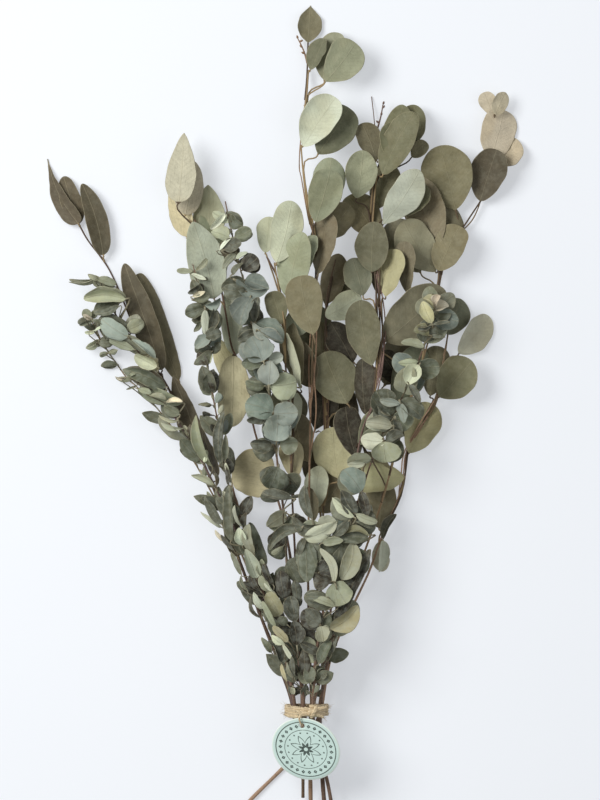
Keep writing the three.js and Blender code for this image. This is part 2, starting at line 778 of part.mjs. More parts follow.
// The largest body of a solid, as a geometry. Points closer than WELD become one, and the faces that this
// flattens, or lays back to back, go.
function largestBody(solid) {
  const bodies = solid.decompose().sort((a, b) => b.volume() - a.volume());
  const mesh = bodies[0].getMesh();
  const geometry = new THREE.BufferGeometry();
  geometry.setAttribute("position", new THREE.BufferAttribute(new Float32Array(mesh.vertProperties), 3));
  geometry.setIndex(new THREE.BufferAttribute(new Uint32Array(mesh.triVerts), 1));
  const merged = mergeVertices(geometry, WELD);
  const index = Array.from(merged.index.array);
  const kept = new Map();
  for (let i = 0; i < index.length; i += 3) {
    const face = index.slice(i, i + 3);
    const key = [...face].sort((a, b) => a - b).join();
    if (kept.has(key)) kept.delete(key);
    else if (new Set(face).size === 3) kept.set(key, face);
  }
  merged.setIndex([...kept.values()].flat());
  return merged;
}

// The solids fused into one body. Hollows that the fusing seals are filled and loose scraps dropped.
function fused(geometries) {
  const whole = geometries.map(manifoldOf).reduce((a, b) => a.add(b));
  const geometry = largestBody(manifoldOf(largestBody(whole)));
  geometry.computeVertexNormals();
  return geometry;
}

function material(colour, roughness) {
  return new THREE.MeshStandardMaterial({ color: colour, roughness, metalness: 0, flatShading: true });
}

const group = new THREE.Group();
group.name = "dried_eucalyptus_bunch";

function addPiece(name, geometry, colour, roughness) {
  const mesh = new THREE.Mesh(geometry, material(colour, roughness));
  mesh.name = name;
  group.add(mesh);
}

// How far the stems reach in a direction across the tie, with the gap that the twine keeps to them.
function reachAcross(laid, direction) {
  let most = -Infinity;
  for (const { centres, radii } of laid)
    for (const y of [TIE_LOW, (TIE_LOW + TIE_HIGH) / 2, TIE_HIGH]) {
      const k = centres.findIndex((c, i) => i + 1 < centres.length && c.y <= y && centres[i + 1].y > y);
      const share = (y - centres[k].y) / (centres[k + 1].y - centres[k].y);
      const at = centres[k].clone().lerp(centres[k + 1], share);
      most = Math.max(most, at.x * direction.x + at.z * direction.z + radii[k] + GAP);
    }
  for (const x of [-FLAT_SPOT, FLAT_SPOT])
    most = Math.max(most, x * direction.x + TWINE * direction.z);
  return most;
}

// The wraps: one ring with a rib for each turn. Round the stems it is the outline of flat sides that touch
// them all, moved out by the thickness of the twine, and its lowest side lies on the surface.
function wraps(laid) {
  const sides = [];
  for (let i = 0; i < TIE_SIDES; i++) {
    const turn = -Math.PI / 2 + (2 * Math.PI * i) / TIE_SIDES;
    const direction = vec(Math.cos(turn), 0, Math.sin(turn));
    sides.push({ direction, reach: reachAcross(laid, direction) });
  }
  const corner = (i, out, y) => {
    const [a, b] = [sides[i], sides[(i + 1) % TIE_SIDES]];
    const [p, q] = [a.reach + out, b.reach + out];
    const cross = a.direction.x * b.direction.z - a.direction.z * b.direction.x;
    const x = (p * b.direction.z - q * a.direction.z) / cross;
    return vec(x, y, (q * a.direction.x - p * b.direction.x) / cross);
  };
  const section = [[0, TIE_HIGH], [0, TIE_LOW], [GROOVE, TIE_LOW]];
  for (let turn = 0; turn < TURNS; turn++)
    for (const [out, up] of [[1, 0.3], [1, 0.7], [GROOVE, 1]])
      section.push([out, TIE_LOW + (turn + up) * TWINE]);
  const points = [];
  for (let i = 0; i < TIE_SIDES; i++)
    points.push(...section.map(([out, y]) => corner(i, out * TWINE, y)));
  const n = section.length;
  const faces = [];
  for (let i = 0; i < TIE_SIDES; i++)
    for (let j = 0; j < n; j++) {
      const [k, next] = [(j + 1) % n, (i + 1) % TIE_SIDES];
      const [a, b, c, d] = [i * n + j, i * n + k, next * n + k, next * n + j];
      faces.push([a, b, c], [a, c, d]);
    }
  return { points, faces: outward(points, faces) };
}

// A length of twine through points, on a smooth curve.
function twine(route, radii, steps) {
  const curve = new THREE.CatmullRomCurve3(route, false, "catmullrom", 0.5);
  const centres = curve.getPoints(steps);
  const at = (k) => (k / steps) * (radii.length - 1);
  const radius = centres.map((c, k) => {
    const low = Math.min(radii.length - 2, Math.floor(at(k)));
    return radii[low] + (radii[low + 1] - radii[low]) * (at(k) - low);
  });
  return tube(centres, radius, 5);
}

// The knot over the wraps: two crossing strands that end in short tails, and one strand over both.
function knot() {
  const r = KNOT_RADIUS;
  return [
    twine([vec(-8, 1, 0), vec(-2, 0.5, 1), vec(4, 2.5, 1.6), vec(9, 4.5, 0.8), vec(15, 5.5, 0)],
      [0.8 * r, r, r, 0.9 * r, 0.5 * r], 6),
    twine([vec(-3, 4.5, 0), vec(2, 3, 0.8), vec(7, 0, 1), vec(12, -2.5, 0)], [r, r, r, 0.5 * r], 5),
    twine([vec(2.5, -2.2, 0), vec(4, 0.5, 2.8), vec(5.5, 3, 3), vec(6.5, 5.8, 0.2)], [r, r, r, r], 5),
  ];
}

function shifted(solid, x, y, z) {
  return { points: solid.points.map((p) => p.clone().add(vec(x, y, z))), faces: solid.faces };
}

// The points and faces of a three.js geometry, with its shared vertices merged.
function solidFrom(geometry) {
  geometry.deleteAttribute("normal");
  geometry.deleteAttribute("uv");
  const merged = mergeVertices(geometry, 1e-4);
  const position = merged.getAttribute("position");
  const points = [];
  for (let i = 0; i < position.count; i++) points.push(new THREE.Vector3().fromBufferAttribute(position, i));
  const index = Array.from(merged.index.array);
  const faces = [];
  for (let i = 0; i < index.length; i += 3) faces.push(index.slice(i, i + 3));
  return { points, faces };
}

// The tag's frame: u along the line that stays level, v up the slope, w out of its face.
function tagFrame() {
  const u = vec(Math.cos(radians(TAG.swing)), Math.sin(radians(TAG.swing)), 0);
  const slope = radians(TAG.tilt);
  const v = vec(-u.y * Math.cos(slope), u.x * Math.cos(slope), Math.sin(slope));
  const w = new THREE.Vector3().crossVectors(u, v);
  return new THREE.Matrix4().makeBasis(u, v, w).setPosition(TAG.x, TAG.y, 0);
}

// A round card with a punched hole.
function tagCard() {
  const outline = new THREE.Shape().absarc(0, 0, TAG.radius, 0, 2 * Math.PI);
  outline.holes.push(new THREE.Path().absarc(...TAG_HOLE, TAG.hole, 0, 2 * Math.PI));
  const card = new THREE.ExtrudeGeometry(outline, {
    depth: TAG.thick, bevelEnabled: false, curveSegments: TAG.sides,
  });
  return solidFrom(card.translate(0, 0, -TAG.thick / 2).applyMatrix4(tagFrame()));
}

// The string from the knot over the card's edge and down through the hole, and from the knot under the edge
// and up through the hole.
function tagString(tie, lift) {
  const frame = tagFrame().setPosition(TAG.x, TAG.y, lift);
  const [u, v] = TAG_HOLE;
  const [outU, outV] = [u, v].map((t) => t / Math.hypot(u, v));
  const near = (out, up) => vec(u + outU * out, v + outV * out, up).applyMatrix4(frame);
  const off = STRING + TAG.thick / 2 + GAP;
  const run = (side) => (
    [near(9, side * off), near(3.4, side * (off + 0.8)), near(0, 0), near(0.3, -1.8 * side)]);
  return [
    twine([tie.clone().add(vec(0, -0.4, 0.4)), ...run(1)], [STRING, STRING], 9),
    twine([tie, ...run(-1)], [STRING, STRING], 9),
  ];
}

// The surface is at height 0. Under the tie the stems leave room for the twine.
const ground = field(-GAP);
for (let j = 0; j < FIELD.ny; j++) {
  const y = FIELD.y0 + (j + 0.5) * CELL;
  if (y > TIE_LOW - 2 && y < TIE_HIGH + 2)
    ground.fill(TIE_ROOM, j * FIELD.nx, (j + 1) * FIELD.nx);
}

const laid = SPRAYS.map((spray, i) => lay(spray, ground, i + 1));
for (const spray of laid)
  addPiece(spray.name, fused(spray.solids.map(geometryOf)), COLOURS[spray.form], 0.8);

const ring = wraps(laid);
addPiece("jute_wraps", geometryOf(ring), COLOURS.twine, 0.95);
stamp(samples(ring), ground, 1, 0);

const strands = knot();
const knotLift = rise(strands.flatMap(samples), ground, 1);
const tied = strands.map((strand) => shifted(strand, 0, 0, knotLift));
stamp(tied.flatMap(samples), ground, 1, 0);

const card = tagCard();
const cardLift = rise(samples(card), ground, 1) + STRING_ROOM;
addPiece("card_tag", geometryOf(shifted(card, 0, 0, cardLift)), COLOURS.tag, 0.7);
const string = tagString(vec(2, 0, knotLift + 1), cardLift);
addPiece("jute_knot", fused([...tied, ...string].map(geometryOf)), COLOURS.twine, 0.95);

export default group;
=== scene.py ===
import math
import bpy
import numpy as np
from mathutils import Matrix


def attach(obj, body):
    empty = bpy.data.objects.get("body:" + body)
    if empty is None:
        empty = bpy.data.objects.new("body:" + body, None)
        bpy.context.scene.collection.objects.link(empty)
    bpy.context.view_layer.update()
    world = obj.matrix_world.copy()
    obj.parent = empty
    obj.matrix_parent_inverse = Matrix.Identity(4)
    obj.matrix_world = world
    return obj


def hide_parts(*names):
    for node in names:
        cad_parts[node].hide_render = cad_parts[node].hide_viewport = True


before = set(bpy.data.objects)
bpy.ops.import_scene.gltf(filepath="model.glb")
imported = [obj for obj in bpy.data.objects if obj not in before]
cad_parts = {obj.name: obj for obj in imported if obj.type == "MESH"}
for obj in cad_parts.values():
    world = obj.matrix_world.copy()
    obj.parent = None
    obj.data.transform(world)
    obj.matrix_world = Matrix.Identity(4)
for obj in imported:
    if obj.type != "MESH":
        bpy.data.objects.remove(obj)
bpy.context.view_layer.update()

BODY = "root"

# Camera: straight above the middle of the view, far off, with a long lens.
VIEW = dict(x=-6.4, y=249.6, tall=640, level=15, away=5000, sensor=24)
MIDDLE = np.array([VIEW["x"], VIEW["y"], 0]) / 1000
camera = bpy.data.objects.new("camera", bpy.data.cameras.new("camera"))
camera.data.sensor_fit = "VERTICAL"
camera.data.sensor_height = VIEW["sensor"]
camera.data.lens = VIEW["sensor"] * (VIEW["away"] - VIEW["level"]) / VIEW["tall"]
camera.location = (*MIDDLE[:2], VIEW["away"] / 1000)
bpy.context.collection.objects.link(camera)
bpy.context.scene.camera = camera

# Dimensions that the solids share, in millimetres: how thick a blade is and how far pieces keep apart, the
# cells of the ground and the samples, how steeply a stem may run and how softly it bends, its rings and
# sides, and the radius of a leaf stalk, which leaves the stem some way back towards the tie.
BLADE = 0.75
GAP = 0.45
CELL = 1.5
SPACING = 1.4
SLOPE = 0.42
EASE = 25
RING_STEP = 32
STEM_SIDES = 5
STALK = 0.95
SET_BACK = 0.8
# The tie: turns of twine with grooves between them, on a flat spot below, and a knot
TWINE = 3
TURNS = 4
TIE_LOW = -4.5
TIE_HIGH = TIE_LOW + TURNS * TWINE
TIE_ROOM = TWINE + 0.5
TIE_SIDES = 18
FLAT_SPOT = 7
GROOVE = 0.62
KNOT_RADIUS = 1.55
STRING = 0.85
# The card: its size, where its middle lies, and how it is turned and tilted, in degrees
TAG = dict(radius=28, thick=0.8, hole=2.2, x=-1.6, y=-28, swing=-30, tilt=30)
TAG_HOLE = np.array([-12.4, 17.3])
STRING_ROOM = 3.3
# The ground's corner and its cells, and where leaves go from pressed flat to free along the bunch
FIELD = dict(x0=-260, y0=-140, nx=360, ny=500)
PRESSED = (10, 190, 0.12)

# Leaf forms: powers of the outline at base and tip, cup, arch, rows and columns of the plain solid, how far
# a leaf may stand off its stem, and for the finer blade its rows, half its columns, wave and edge curl.
FORMS = dict(
    dollar=dict(base=0.66, tip=0.46, cup=0.16, arch=0.07, rows=(0, 0.24, 0.58, 0.88), columns=(-1, 0, 1),
                off=12, fine=22, half=11, wave=0.025),
    long=dict(base=0.55, tip=0.72, cup=0.22, arch=0.06, rows=(0, 0.16, 0.5, 0.82), columns=(-1, 0, 1),
              off=12, fine=26, half=10, wave=0.03),
    baby=dict(base=0.46, tip=0.52, cup=0.3, arch=0.12, rows=(0, 0.3, 0.78), columns=(-1, 1),
              off=4, fine=16, half=8, wave=0.04),
)

# Leaf tones: d dark brown, x darker brown, e darkest (partly a leaf colour and partly painted shade, for
# leaves set in
#  the deep shadow between others), m warm brown, u grey brown, q dark olive, o olive, y straw green, j pale
#  straw, s sage, p pale sage, k buff, l cream, w nearly white, v leaf grey green, g grey green, h dark grey
#  green, b blue grey, c pale blue grey.
TONES = dict(d="#7a735a", x="#574f3e", e="#363126", m="#908c72", u="#96927b", q="#6f6f58", o="#78785b",
             y="#b8b38d", j="#cbc5a1", s="#9a9e85", p="#ccd0b7", k="#d2c9b1", l="#bcb7a3", w="#ced6c0",
             v="#7d816c", g="#646855", h="#4d4f42", b="#87938a", c="#a2aba3")

# The bark of most stems and of some, the twine and the card
BARK = "#6b5649"
BARKS = dict(silver_dollar_centre="#665343", baby_blue_left="#5c4a48", small_leaf_sprig="#7a6a52",
             long_leaf_dark="#544338", silver_dollar_mid_right="#6c5750", silver_dollar_tall="#8a705a",
             silver_dollar_right_low="#9a7f6a", silver_dollar_right="#8a7458")
JUTE = "#d6c3a2"
CARD = "#cfe7e2"

# Each spray, back to front, as in the solids. A leaf is (base x, base y, tip x, tip y, width, roll, tone).
SPRAYS = [
    dict(name="silver_dollar_right_low", form="dollar", radius=(2.3, 1), tones="o",
         stem=[(-63, -90), (-45, -70), (-15, -40), (0, -18), (10, 0), (18, 42), (34, 80), (49, 112),
             (58, 137), (67, 158), (75, 176), (78, 190), (80, 208), (92, 230), (101, 245), (106, 262),
             (109, 285), (112, 301)],
         behind=[(57, 136, 60, 112, 15, 22, "p"), (98, 253, 104, 293, 24, 14, "d"),
             (57, 147, 58, 186, 25, -14, "d")],
         before=[(112, 302, 122, 331, 24, -12, "v"), (81, 207, 99, 247, 29, 12, "y"),
             (121, 287, 145, 317, 24, -20, "p"), (105, 252, 131, 281, 33, 8, "o"),
             (77, 188, 38, 189, 28, -30, "y")]),
    dict(name="silver_dollar_right", form="dollar", radius=(2.1, 1), tones="d",
         stem=[(0, -28), (3, 0), (17, 50), (37, 105), (58, 165), (75, 225), (90, 275), (101, 315),
             (107, 352), (113, 368), (121, 382), (133, 396), (141, 418), (147, 443), (149, 478)],
         behind=[(104, 371, 87, 428, 36, 16, "d"), (147, 440, 171, 455, 19, 28, "k"),
             (70, 250, 92, 292, 30, -15, "v"), (90, 352, 66, 393, 30, 12, "u"),
             (105, 362, 110, 408, 35, 8, "d"), (82, 258, 58, 288, 22, -14, "e")],
         before=[(147, 443, 157, 482, 29, -22, "k"), (148, 478, 141, 496, 14, 20, "k"),
             (150, 478, 158, 496, 14, -18, "k"), (138, 409, 151, 450, 33, 14, "x"),
             (102, 352, 76, 393, 33, -14, "u"), (104, 353, 121, 389, 27, 14, "d"),
             (80, 334, 77, 376, 24, 48, "d"), (62, 297, 109, 338, 42, -10, "m"),
             (118, 402, 105, 453, 40, 8, "d")]),
    dict(name="silver_dollar_centre", form="dollar", radius=(1.7, 0.9), tones="d",
         stem=[(-4, -69), (-4, -35), (-4, 0), (3, 60), (10, 120), (13, 180), (15, 240), (14, 290),
             (15, 330), (22, 362)],
         behind=[(14, 326, 25, 367, 21, 18, "d"), (10, 276, 13, 312, 22, -20, "d"),
             (6, 226, 14, 262, 26, 20, "e"), (8, 160, 30, 190, 28, -14, "d")],
         before=[(14, 316, 42, 333, 22, -18, "p"), (36, 280, 18, 312, 24, 14, "e"),
             (31, 247, 13, 288, 37, -9, "q"), (24, 187, 20, 228, 35, 12, "y"),
             (6, 162, 9, 197, 20, -16, "p"), (5, 153, -1, 180, 16, 40, "d")]),
    dict(name="silver_dollar_mid_right", form="dollar", radius=(2, 0.8), tones="o",
         stem=[(9, -28), (10, 0), (16, 60), (23, 120), (34, 180), (44, 228), (52, 250), (57, 285),
             (57, 320), (54, 360), (50, 400), (53, 440), (54, 460), (53, 475), (51, 493)],
         twigs=[(54, 462, 60, 486)],
         behind=[(83, 444, 95, 456, 13, 10, "d"), (62, 432, 76, 486, 26, 24, "o"),
             (55, 380, 32, 413, 30, -12, "d"), (46, 238, 44, 283, 24, 42, "e"),
             (40, 214, 62, 243, 26, -20, "s"), (68, 400, 96, 420, 28, 30, "o"),
             (54, 402, 66, 440, 25, 12, "o"), (39, 203, 30, 244, 24, -16, "e"),
             (78, 452, 86, 486, 24, 18, "o")],
         before=[(55, 441, 43, 471, 22, -18, "d"), (60, 430, 85, 479, 26, 22, "o"),
             (66, 443, 72, 471, 24, 6, "o"), (39, 411, 44, 449, 26, -8, "s"),
             (44, 333, 35, 363, 24, -20, "v"), (62, 332, 70, 370, 22, 54, "y"),
             (51, 352, 53, 392, 27, 10, "q"), (60, 390, 89, 433, 27, -16, "w"),
             (51, 277, 41, 329, 28, 7, "q")]),
    dict(name="silver_dollar_tall", form="dollar", radius=(2.4, 0.8), tones="s",
         stem=[(3, -104), (2, -62), (2, -26), (3, 0), (1, 60), (0, 120), (1, 180), (2, 240), (4, 300),
             (6, 350), (5, 378), (0, 396), (-5, 425), (-7, 438), (-5, 468), (-3, 482), (-1, 506),
             (0, 536)],
         twigs=[(-1, 520, -8, 539)],
         behind=[(13, 506, 24, 544, 25, 16, "s"), (8, 446, 33, 483, 32, -10, "q"),
             (7, 400, 19, 443, 28, 12, "s"), (3, 260, -12, 296, 26, 18, "d"),
             (14, 380, 34, 405, 24, -20, "d"), (1, 200, -10, 238, 24, 14, "d")],
         before=[(0, 536, 2, 566, 20, -12, "d"), (2, 514, 13, 539, 17, 44, "q"),
             (14, 504, 38, 535, 31, -8, "s"), (-4, 452, 22, 491, 30, 12, "w"),
             (8, 350, 15, 400, 29, 48, "d"), (6, 391, 18, 433, 28, -12, "s"),
             (4, 302, -6, 348, 30, 6, "d")]),
    dict(name="silver_dollar_pale", form="dollar", radius=(1.8, 0.9), tones="s",
         stem=[(-6, -38), (-4, 0), (-7, 60), (-10, 120), (-13, 180), (-15, 240), (-19, 290), (-21, 328),
             (-25, 348), (-33, 364)],
         behind=[(-34, 367, -31, 396, 21, 18, "p"), (-6, 262, -16, 312, 21, 34, "d"),
             (-14, 226, -13, 258, 18, -15, "p"), (-10, 186, -16, 218, 20, 12, "y"),
             (-20, 300, 2, 322, 22, -12, "s"), (-13, 222, -22, 262, 22, 12, "s")],
         before=[(-4, 344, 5, 381, 21, 46, "s"), (-16, 331, -4, 383, 27, 14, "s"),
             (-25, 359, -13, 408, 27, -12, "p"), (-21, 310, -29, 336, 18, 8, "o"),
             (-6, 258, -17, 303, 18, 66, "p")]),
    dict(name="long_leaf_dark", form="long", radius=(2.2, 1), tones="d",
         stem=[(-12, -30), (-11, 0), (-23, 38), (-37, 74), (-52, 113), (-67, 154), (-80, 190), (-94, 222),
             (-104, 243), (-114, 263), (-128, 285), (-141, 312), (-154, 343), (-163, 360), (-176, 377),
             (-184, 391)],
         behind=[(-184, 391, -196, 429, 21, 14, "x"), (-104, 266, -136, 351, 28, -14, "d"),
             (-60, 140, -64, 182, 16, 30, "x"), (-38, 82, -40, 122, 15, -30, "x")],
         before=[(-184, 391, -209, 443, 20, 28, "x"), (-164, 366, -181, 423, 25, -12, "x"),
             (-117, 274, -147, 359, 27, 14, "x"), (-84, 207, -108, 269, 24, 36, "x"),
             (-73, 188, -84, 227, 15, 50, "x"), (-56, 124, -66, 160, 16, -36, "x")]),
    dict(name="small_leaf_sprig", form="baby", radius=(1.4, 0.7), tones="sg",
         stem=[(-12, -24), (-11, 0), (-20, 34), (-32, 72), (-47, 112), (-65, 152), (-84, 188), (-102, 218),
             (-120, 242), (-137, 260), (-145, 267), (-153, 278), (-160, 288), (-166, 298), (-172, 310),
             (-176, 319)],
         behind=[],
         before=[(-175, 315, -180, 322, 9, 20, "s"), (-168, 298, -178, 291, 6, 45, "s"),
             (-167, 297, -156, 295, 9, 10, "g"), (-160, 287, -167, 285, 5, 30, "s"),
             (-159.5, 287.8, -153, 289, 5, -20, "s"), (-153, 278, -166, 277, 6, 20, "g"),
             (-142, 266, -154, 267, 5, 20, "s")],
         pairs=[dict(low=0.93, high=0.985, spacing=11, long=10, wide=5.5),
             dict(low=0.32, high=0.72, spacing=42, long=18, wide=8, narrow=True)]),
    dict(name="baby_blue_left", form="baby", radius=(1.9, 0.8), tones="sgg",
         stem=[(-10, -34), (-11, 0), (-18, 34), (-29, 70), (-43, 110), (-59, 148), (-76, 184), (-91, 212),
             (-104, 232), (-117, 252), (-127, 272), (-139, 294), (-150, 312), (-160, 328), (-168, 343)],
         behind=[(-121, 273, -137, 289, 15, -20, "y"), (-103, 237, -117, 247, 12, 15, "g"),
             (-142, 303, -136, 318, 15, -10, "p")],
         before=[(-155, 340, -176, 350, 14, 50, "s"), (-170, 345, -191, 346, 6, 30, "s"),
             (-145, 330, -179, 332, 20, 52, "s"), (-152, 327, -171, 320, 14, -44, "g"),
             (-144, 302, -167, 315, 21, 14, "g"), (-128, 287, -158, 299, 17, 48, "s"),
             (-114, 258, -146, 274, 16, -16, "x"), (-101, 247, -136, 258, 15, 40, "s"),
             (-96, 218, -119, 236, 13, 44, "s")],
         pairs=[dict(low=0.3, high=0.6, spacing=36, long=22, wide=11, narrow=True)]),
    dict(name="long_leaf_pale", form="long", radius=(2.2, 1), tones="s",
         stem=[(-3, -46), (-4, 0), (-7, 58), (-12, 110), (-20, 155), (-33, 196), (-42, 222), (-48, 250),
             (-53, 275), (-61, 292), (-66, 320), (-71, 345), (-80, 372), (-91, 394)],
         behind=[(-98, 398, -91, 441, 23, -14, "l"), (-97, 381, -108, 421, 19, 26, "j"),
             (-82, 374, -80, 422, 27, 10, "s"), (-58, 286, -62, 347, 19, 20, "p"),
             (-72, 345, -84, 404, 24, -24, "s"), (-52, 258, -76, 302, 20, 12, "j")],
         before=[(-103, 408, -99, 463, 26, 10, "l"), (-75, 331, -92, 392, 33, -10, "w"),
             (-60, 285, -62, 228, 27, 8, "j"), (-27, 188, -61, 192, 40, -8, "j")]),
    dict(name="baby_blue_curled", form="baby", radius=(1.8, 0.7), tones="gge",
         stem=[(-9, -26), (-10, 0), (-15, 30), (-27, 70), (-42, 116), (-56, 164), (-67, 208), (-75, 248),
             (-80, 276), (-80, 300), (-84, 325), (-88, 342), (-92, 358)],
         behind=[],
         before=[(-76, 326, -98, 319, 13, 10, "g"), (-79, 322, -73, 305, 13, 40, "g"),
             (-79, 296, -90, 288, 15, 30, "g"), (-84, 297, -70, 304, 16, -10, "b"),
             (-77, 288, -91, 278, 9, 20, "g"), (-77, 270, -82, 256, 13, 40, "g")],
         pairs=[dict(low=0.88, high=0.985, spacing=18, long=12, wide=8),
             dict(low=0.14, high=0.73, spacing=35, long=22, wide=12, narrow=True)]),
    dict(name="baby_blue_right", form="baby", radius=(2, 0.8), tones="sgb",
         stem=[(15, -96), (12, -60), (10, -26), (9, 0), (15, 38), (23, 78), (30, 122), (35, 150),
             (43, 178), (52, 205), (62, 228), (73, 248), (80, 262), (87, 278), (94, 298), (98, 310),
             (104, 327)],
         behind=[],
         before=[(100, 316, 96, 340, 15, 20, "s"), (103, 322, 116, 334, 15, -24, "s"),
             (101, 318, 114, 318, 13, 20, "g"), (42, 177, 27, 194, 24, 12, "s"),
             (66, 236, 46, 229, 19, -16, "p"), (58, 218, 42, 218, 18, 20, "s"),
             (58, 215, 75, 204, 22, 10, "g"), (50, 203, 31, 200, 12, 30, "s")],
         pairs=[dict(low=0.77, high=0.97, spacing=25, long=22, wide=19),
             dict(low=0.48, high=0.56, spacing=18, long=20, wide=15)]),
    dict(name="baby_blue_low_right", form="baby", radius=(1.7, 0.9), tones="gs",
         stem=[(21, -88), (16, -58), (8, -26), (4, 0), (11, 36), (21, 70), (24, 104), (33, 132), (36, 156),
             (42, 178), (44, 196)],
         behind=[(40, 170, 44, 150, 20, 20, "g"), (30, 130, 46, 112, 24, -20, "s")],
         before=[(22, 62, 37, 90, 19, 18, "s"), (36, 156, 20, 172, 17, 40, "s"),
             (37, 158, 54, 150, 15, 30, "g"), (20, 141, 48, 140, 17, 34, "g"),
             (24, 109, 35, 137, 21, -16, "g"), (28, 128, 10, 137, 16, 36, "g"),
             (21, 104, 10, 131, 16, 40, "s"), (21, 102, 28, 86, 24, 8, "p"),
             (22, 106, 32, 122, 20, -14, "g")],
         pairs=[dict(low=0.47, high=0.54, spacing=20, long=18, wide=12)]),
    dict(name="baby_blue_front", form="baby", radius=(2.1, 0.8), tones="gge",
         stem=[(0, -40), (-3, 0), (-8, 50), (-14, 98), (-17, 122), (-20, 165), (-25, 205), (-28, 240),
             (-33, 266), (-40, 298), (-48, 332), (-56, 362), (-61, 384), (-66, 408)],
         behind=[(-46, 322, -38, 308, 17, 20, "x"), (-40, 300, -56, 300, 17, -12, "g"),
             (-34, 276, -49, 276, 20, 14, "g"), (-30, 256, -49, 264, 19, -10, "g"),
             (-27, 232, -8, 238, 20, 14, "b"), (-26, 208, -44, 214, 20, 10, "g"),
             (-22, 182, -7, 184, 16, -18, "g"), (-18, 134, -32, 128, 18, 14, "g"),
             (-15, 104, -28, 96, 20, -10, "e")],
         before=[(-65, 399, -52, 388, 9, 30, "g"), (-62, 392, -76, 399, 9, -20, "p"),
             (-61, 384, -77, 383, 9, 20, "p"), (-59, 378, -44, 382, 9, -15, "s"),
             (-55, 366, -70, 374, 14, 30, "x"), (-55, 360, -38, 354, 14, -30, "e"),
             (-51, 345, -69, 338, 16, 12, "g"), (-50, 345, -31, 338, 17, -14, "b"),
             (-47, 331, -53, 309, 23, 14, "g"), (-41, 311, -20, 295, 17, 26, "b"),
             (-30, 283, -55, 292, 23, -10, "c"), (-31, 261, -30, 283, 24, 10, "b"),
             (-30, 259, -10, 266, 22, -14, "b"), (-28, 240, -50, 246, 25, 12, "b"),
             (-27, 240, -9, 236, 19, 18, "b"), (-25, 214, -25, 238, 25, -8, "b"),
             (-24, 196, -30, 179, 25, 26, "g"), (-20, 178, -38, 172, 15, 40, "g"),
             (-18, 160, -33, 149, 14, 30, "s"), (-17, 156, 1, 150, 16, -36, "e"),
             (-17, 144, -31, 134, 16, 20, "e"), (-16, 122, 0, 106, 19, 12, "g"),
             (-15, 112, -27, 108, 15, 34, "g")],
         pairs=[dict(low=0.15, high=0.27, spacing=17, long=19, wide=14)]),
    dict(name="baby_blue_low", form="baby", radius=(1.6, 0.9), tones="gs",
         stem=[(6, -24), (4, 0), (5, 32), (9, 66), (12, 84), (8, 112), (6, 136), (7, 152)],
         behind=[(4, 56, -12, 72, 17, 10, "e"), (4, 44, 16, 58, 14, -20, "g")],
         before=[(8, 152, -5, 142, 17, 12, "p"), (8, 150, 23, 152, 16, -16, "p"),
             (5, 137, -2, 107, 19, 14, "g"), (9, 113, 20, 118, 16, 22, "e"), (18, 86, -3, 95, 16, 28, "g"),
             (10, 70, -5, 82, 18, -16, "e"), (9, 69, 16, 59, 15, 20, "s"), (9, 66, 18, 64, 12, 30, "s")],
         pairs=[dict(low=0.28, high=0.5, spacing=14, long=16, wide=11)]),
]


def unit(v):
    return v / np.linalg.norm(v)


def unit_rows(v):
    return v / np.linalg.norm(v, axis=1)[:, None]


def flat(x, y, z=0.0):
    return np.array([x, y, z], float)


def round_turn(count):
    """Angles that divide a full turn evenly."""
    return 2 * np.pi * np.arange(count) / count


def running(points):
    """The distance along a line at each of its points: the sum of the steps so far."""
    return np.concatenate([[0], np.cumsum(np.linalg.norm(np.diff(points, axis=0), axis=1))])


def carried(runs, normal):
    """A direction square to each heading of a line, carried on from one to the next."""
    normals = []
    for run in runs:
        normal = unit(normal - run * (normal @ run))
        normals.append(normal)
    return np.array(normals)


def circles(centres, radii, turn, across, up):
    """Rings of points: the centre plus radius times (cos turn across + sin turn up)."""
    return centres[:, None] + radii * (np.cos(turn)[None, :, None] * across[:, None]
                                       + np.sin(turn)[None, :, None] * up[:, None])


def chance(seed):
    """Numbers between 0 and 1: the state times 16807, modulo 2147483647, over that prime."""
    state = seed

    def draw():
        nonlocal state
        state = state * 16807 % 2147483647
        return state / 2147483647
    return draw


def height_field(level):
    """One height for each cell of the ground, row by row."""
    return np.full(FIELD["nx"] * FIELD["ny"], float(level))


def cells(found):
    """The cell under each sample: its row times the cells in a row, plus its column."""
    i = np.floor((found[:, 0] - FIELD["x0"]) / CELL).astype(int)
    j = np.floor((found[:, 1] - FIELD["y0"]) / CELL).astype(int)
    return j * FIELD["nx"] + i


def samples(solid):
    """Points on a lattice over every triangle: (i a + j b + (n - i - j) c) / n, with i + j up to n."""
    points, faces = solid
    a, b, c = points[faces[:, 0]], points[faces[:, 1]], points[faces[:, 2]]
    reach = max(np.linalg.norm(p - q, axis=1).max() for p, q in ((a, b), (b, c), (c, a)))
    n = math.ceil(reach / SPACING)
    i, j = np.mgrid[0:n + 1, 0:n + 1]
    i, j = (t[i + j <= n][None, :, None] / n for t in (i, j))
    return (i * a[:, None] + j * b[:, None] + (1 - i - j) * c[:, None]).reshape(-1, 3)


def rise(found, field, side=1):
    """The rise that brings every sample GAP clear of the field."""
    return (field[cells(found)] + GAP - side * found[:, 2]).max()


def stamp(found, field, side=1, lift=0.0):
    """Raises the field to the samples, in their own cell and the eight round it."""
    top = np.full(field.shape, -np.inf)
    np.maximum.at(top, cells(found), side * (found[:, 2] + lift))
    top = top.reshape(FIELD["ny"], FIELD["nx"])
    shown = field.reshape(top.shape)
    for dj in (-1, 0, 1):
        for di in (-1, 0, 1):
            np.maximum(shown, np.roll(top, (dj, di), (0, 1)), out=shown)


def grid_faces(rows, ring):
    """Quads between neighbouring rows of points, each of which closes on itself."""
    row, col = np.mgrid[0:rows - 1, 0:ring]
    after = (col + 1) % ring
    return np.stack([row * ring + col, row * ring + after, (row + 1) * ring + after, (row + 1) * ring + col],
                    -1).reshape(-1, 4)


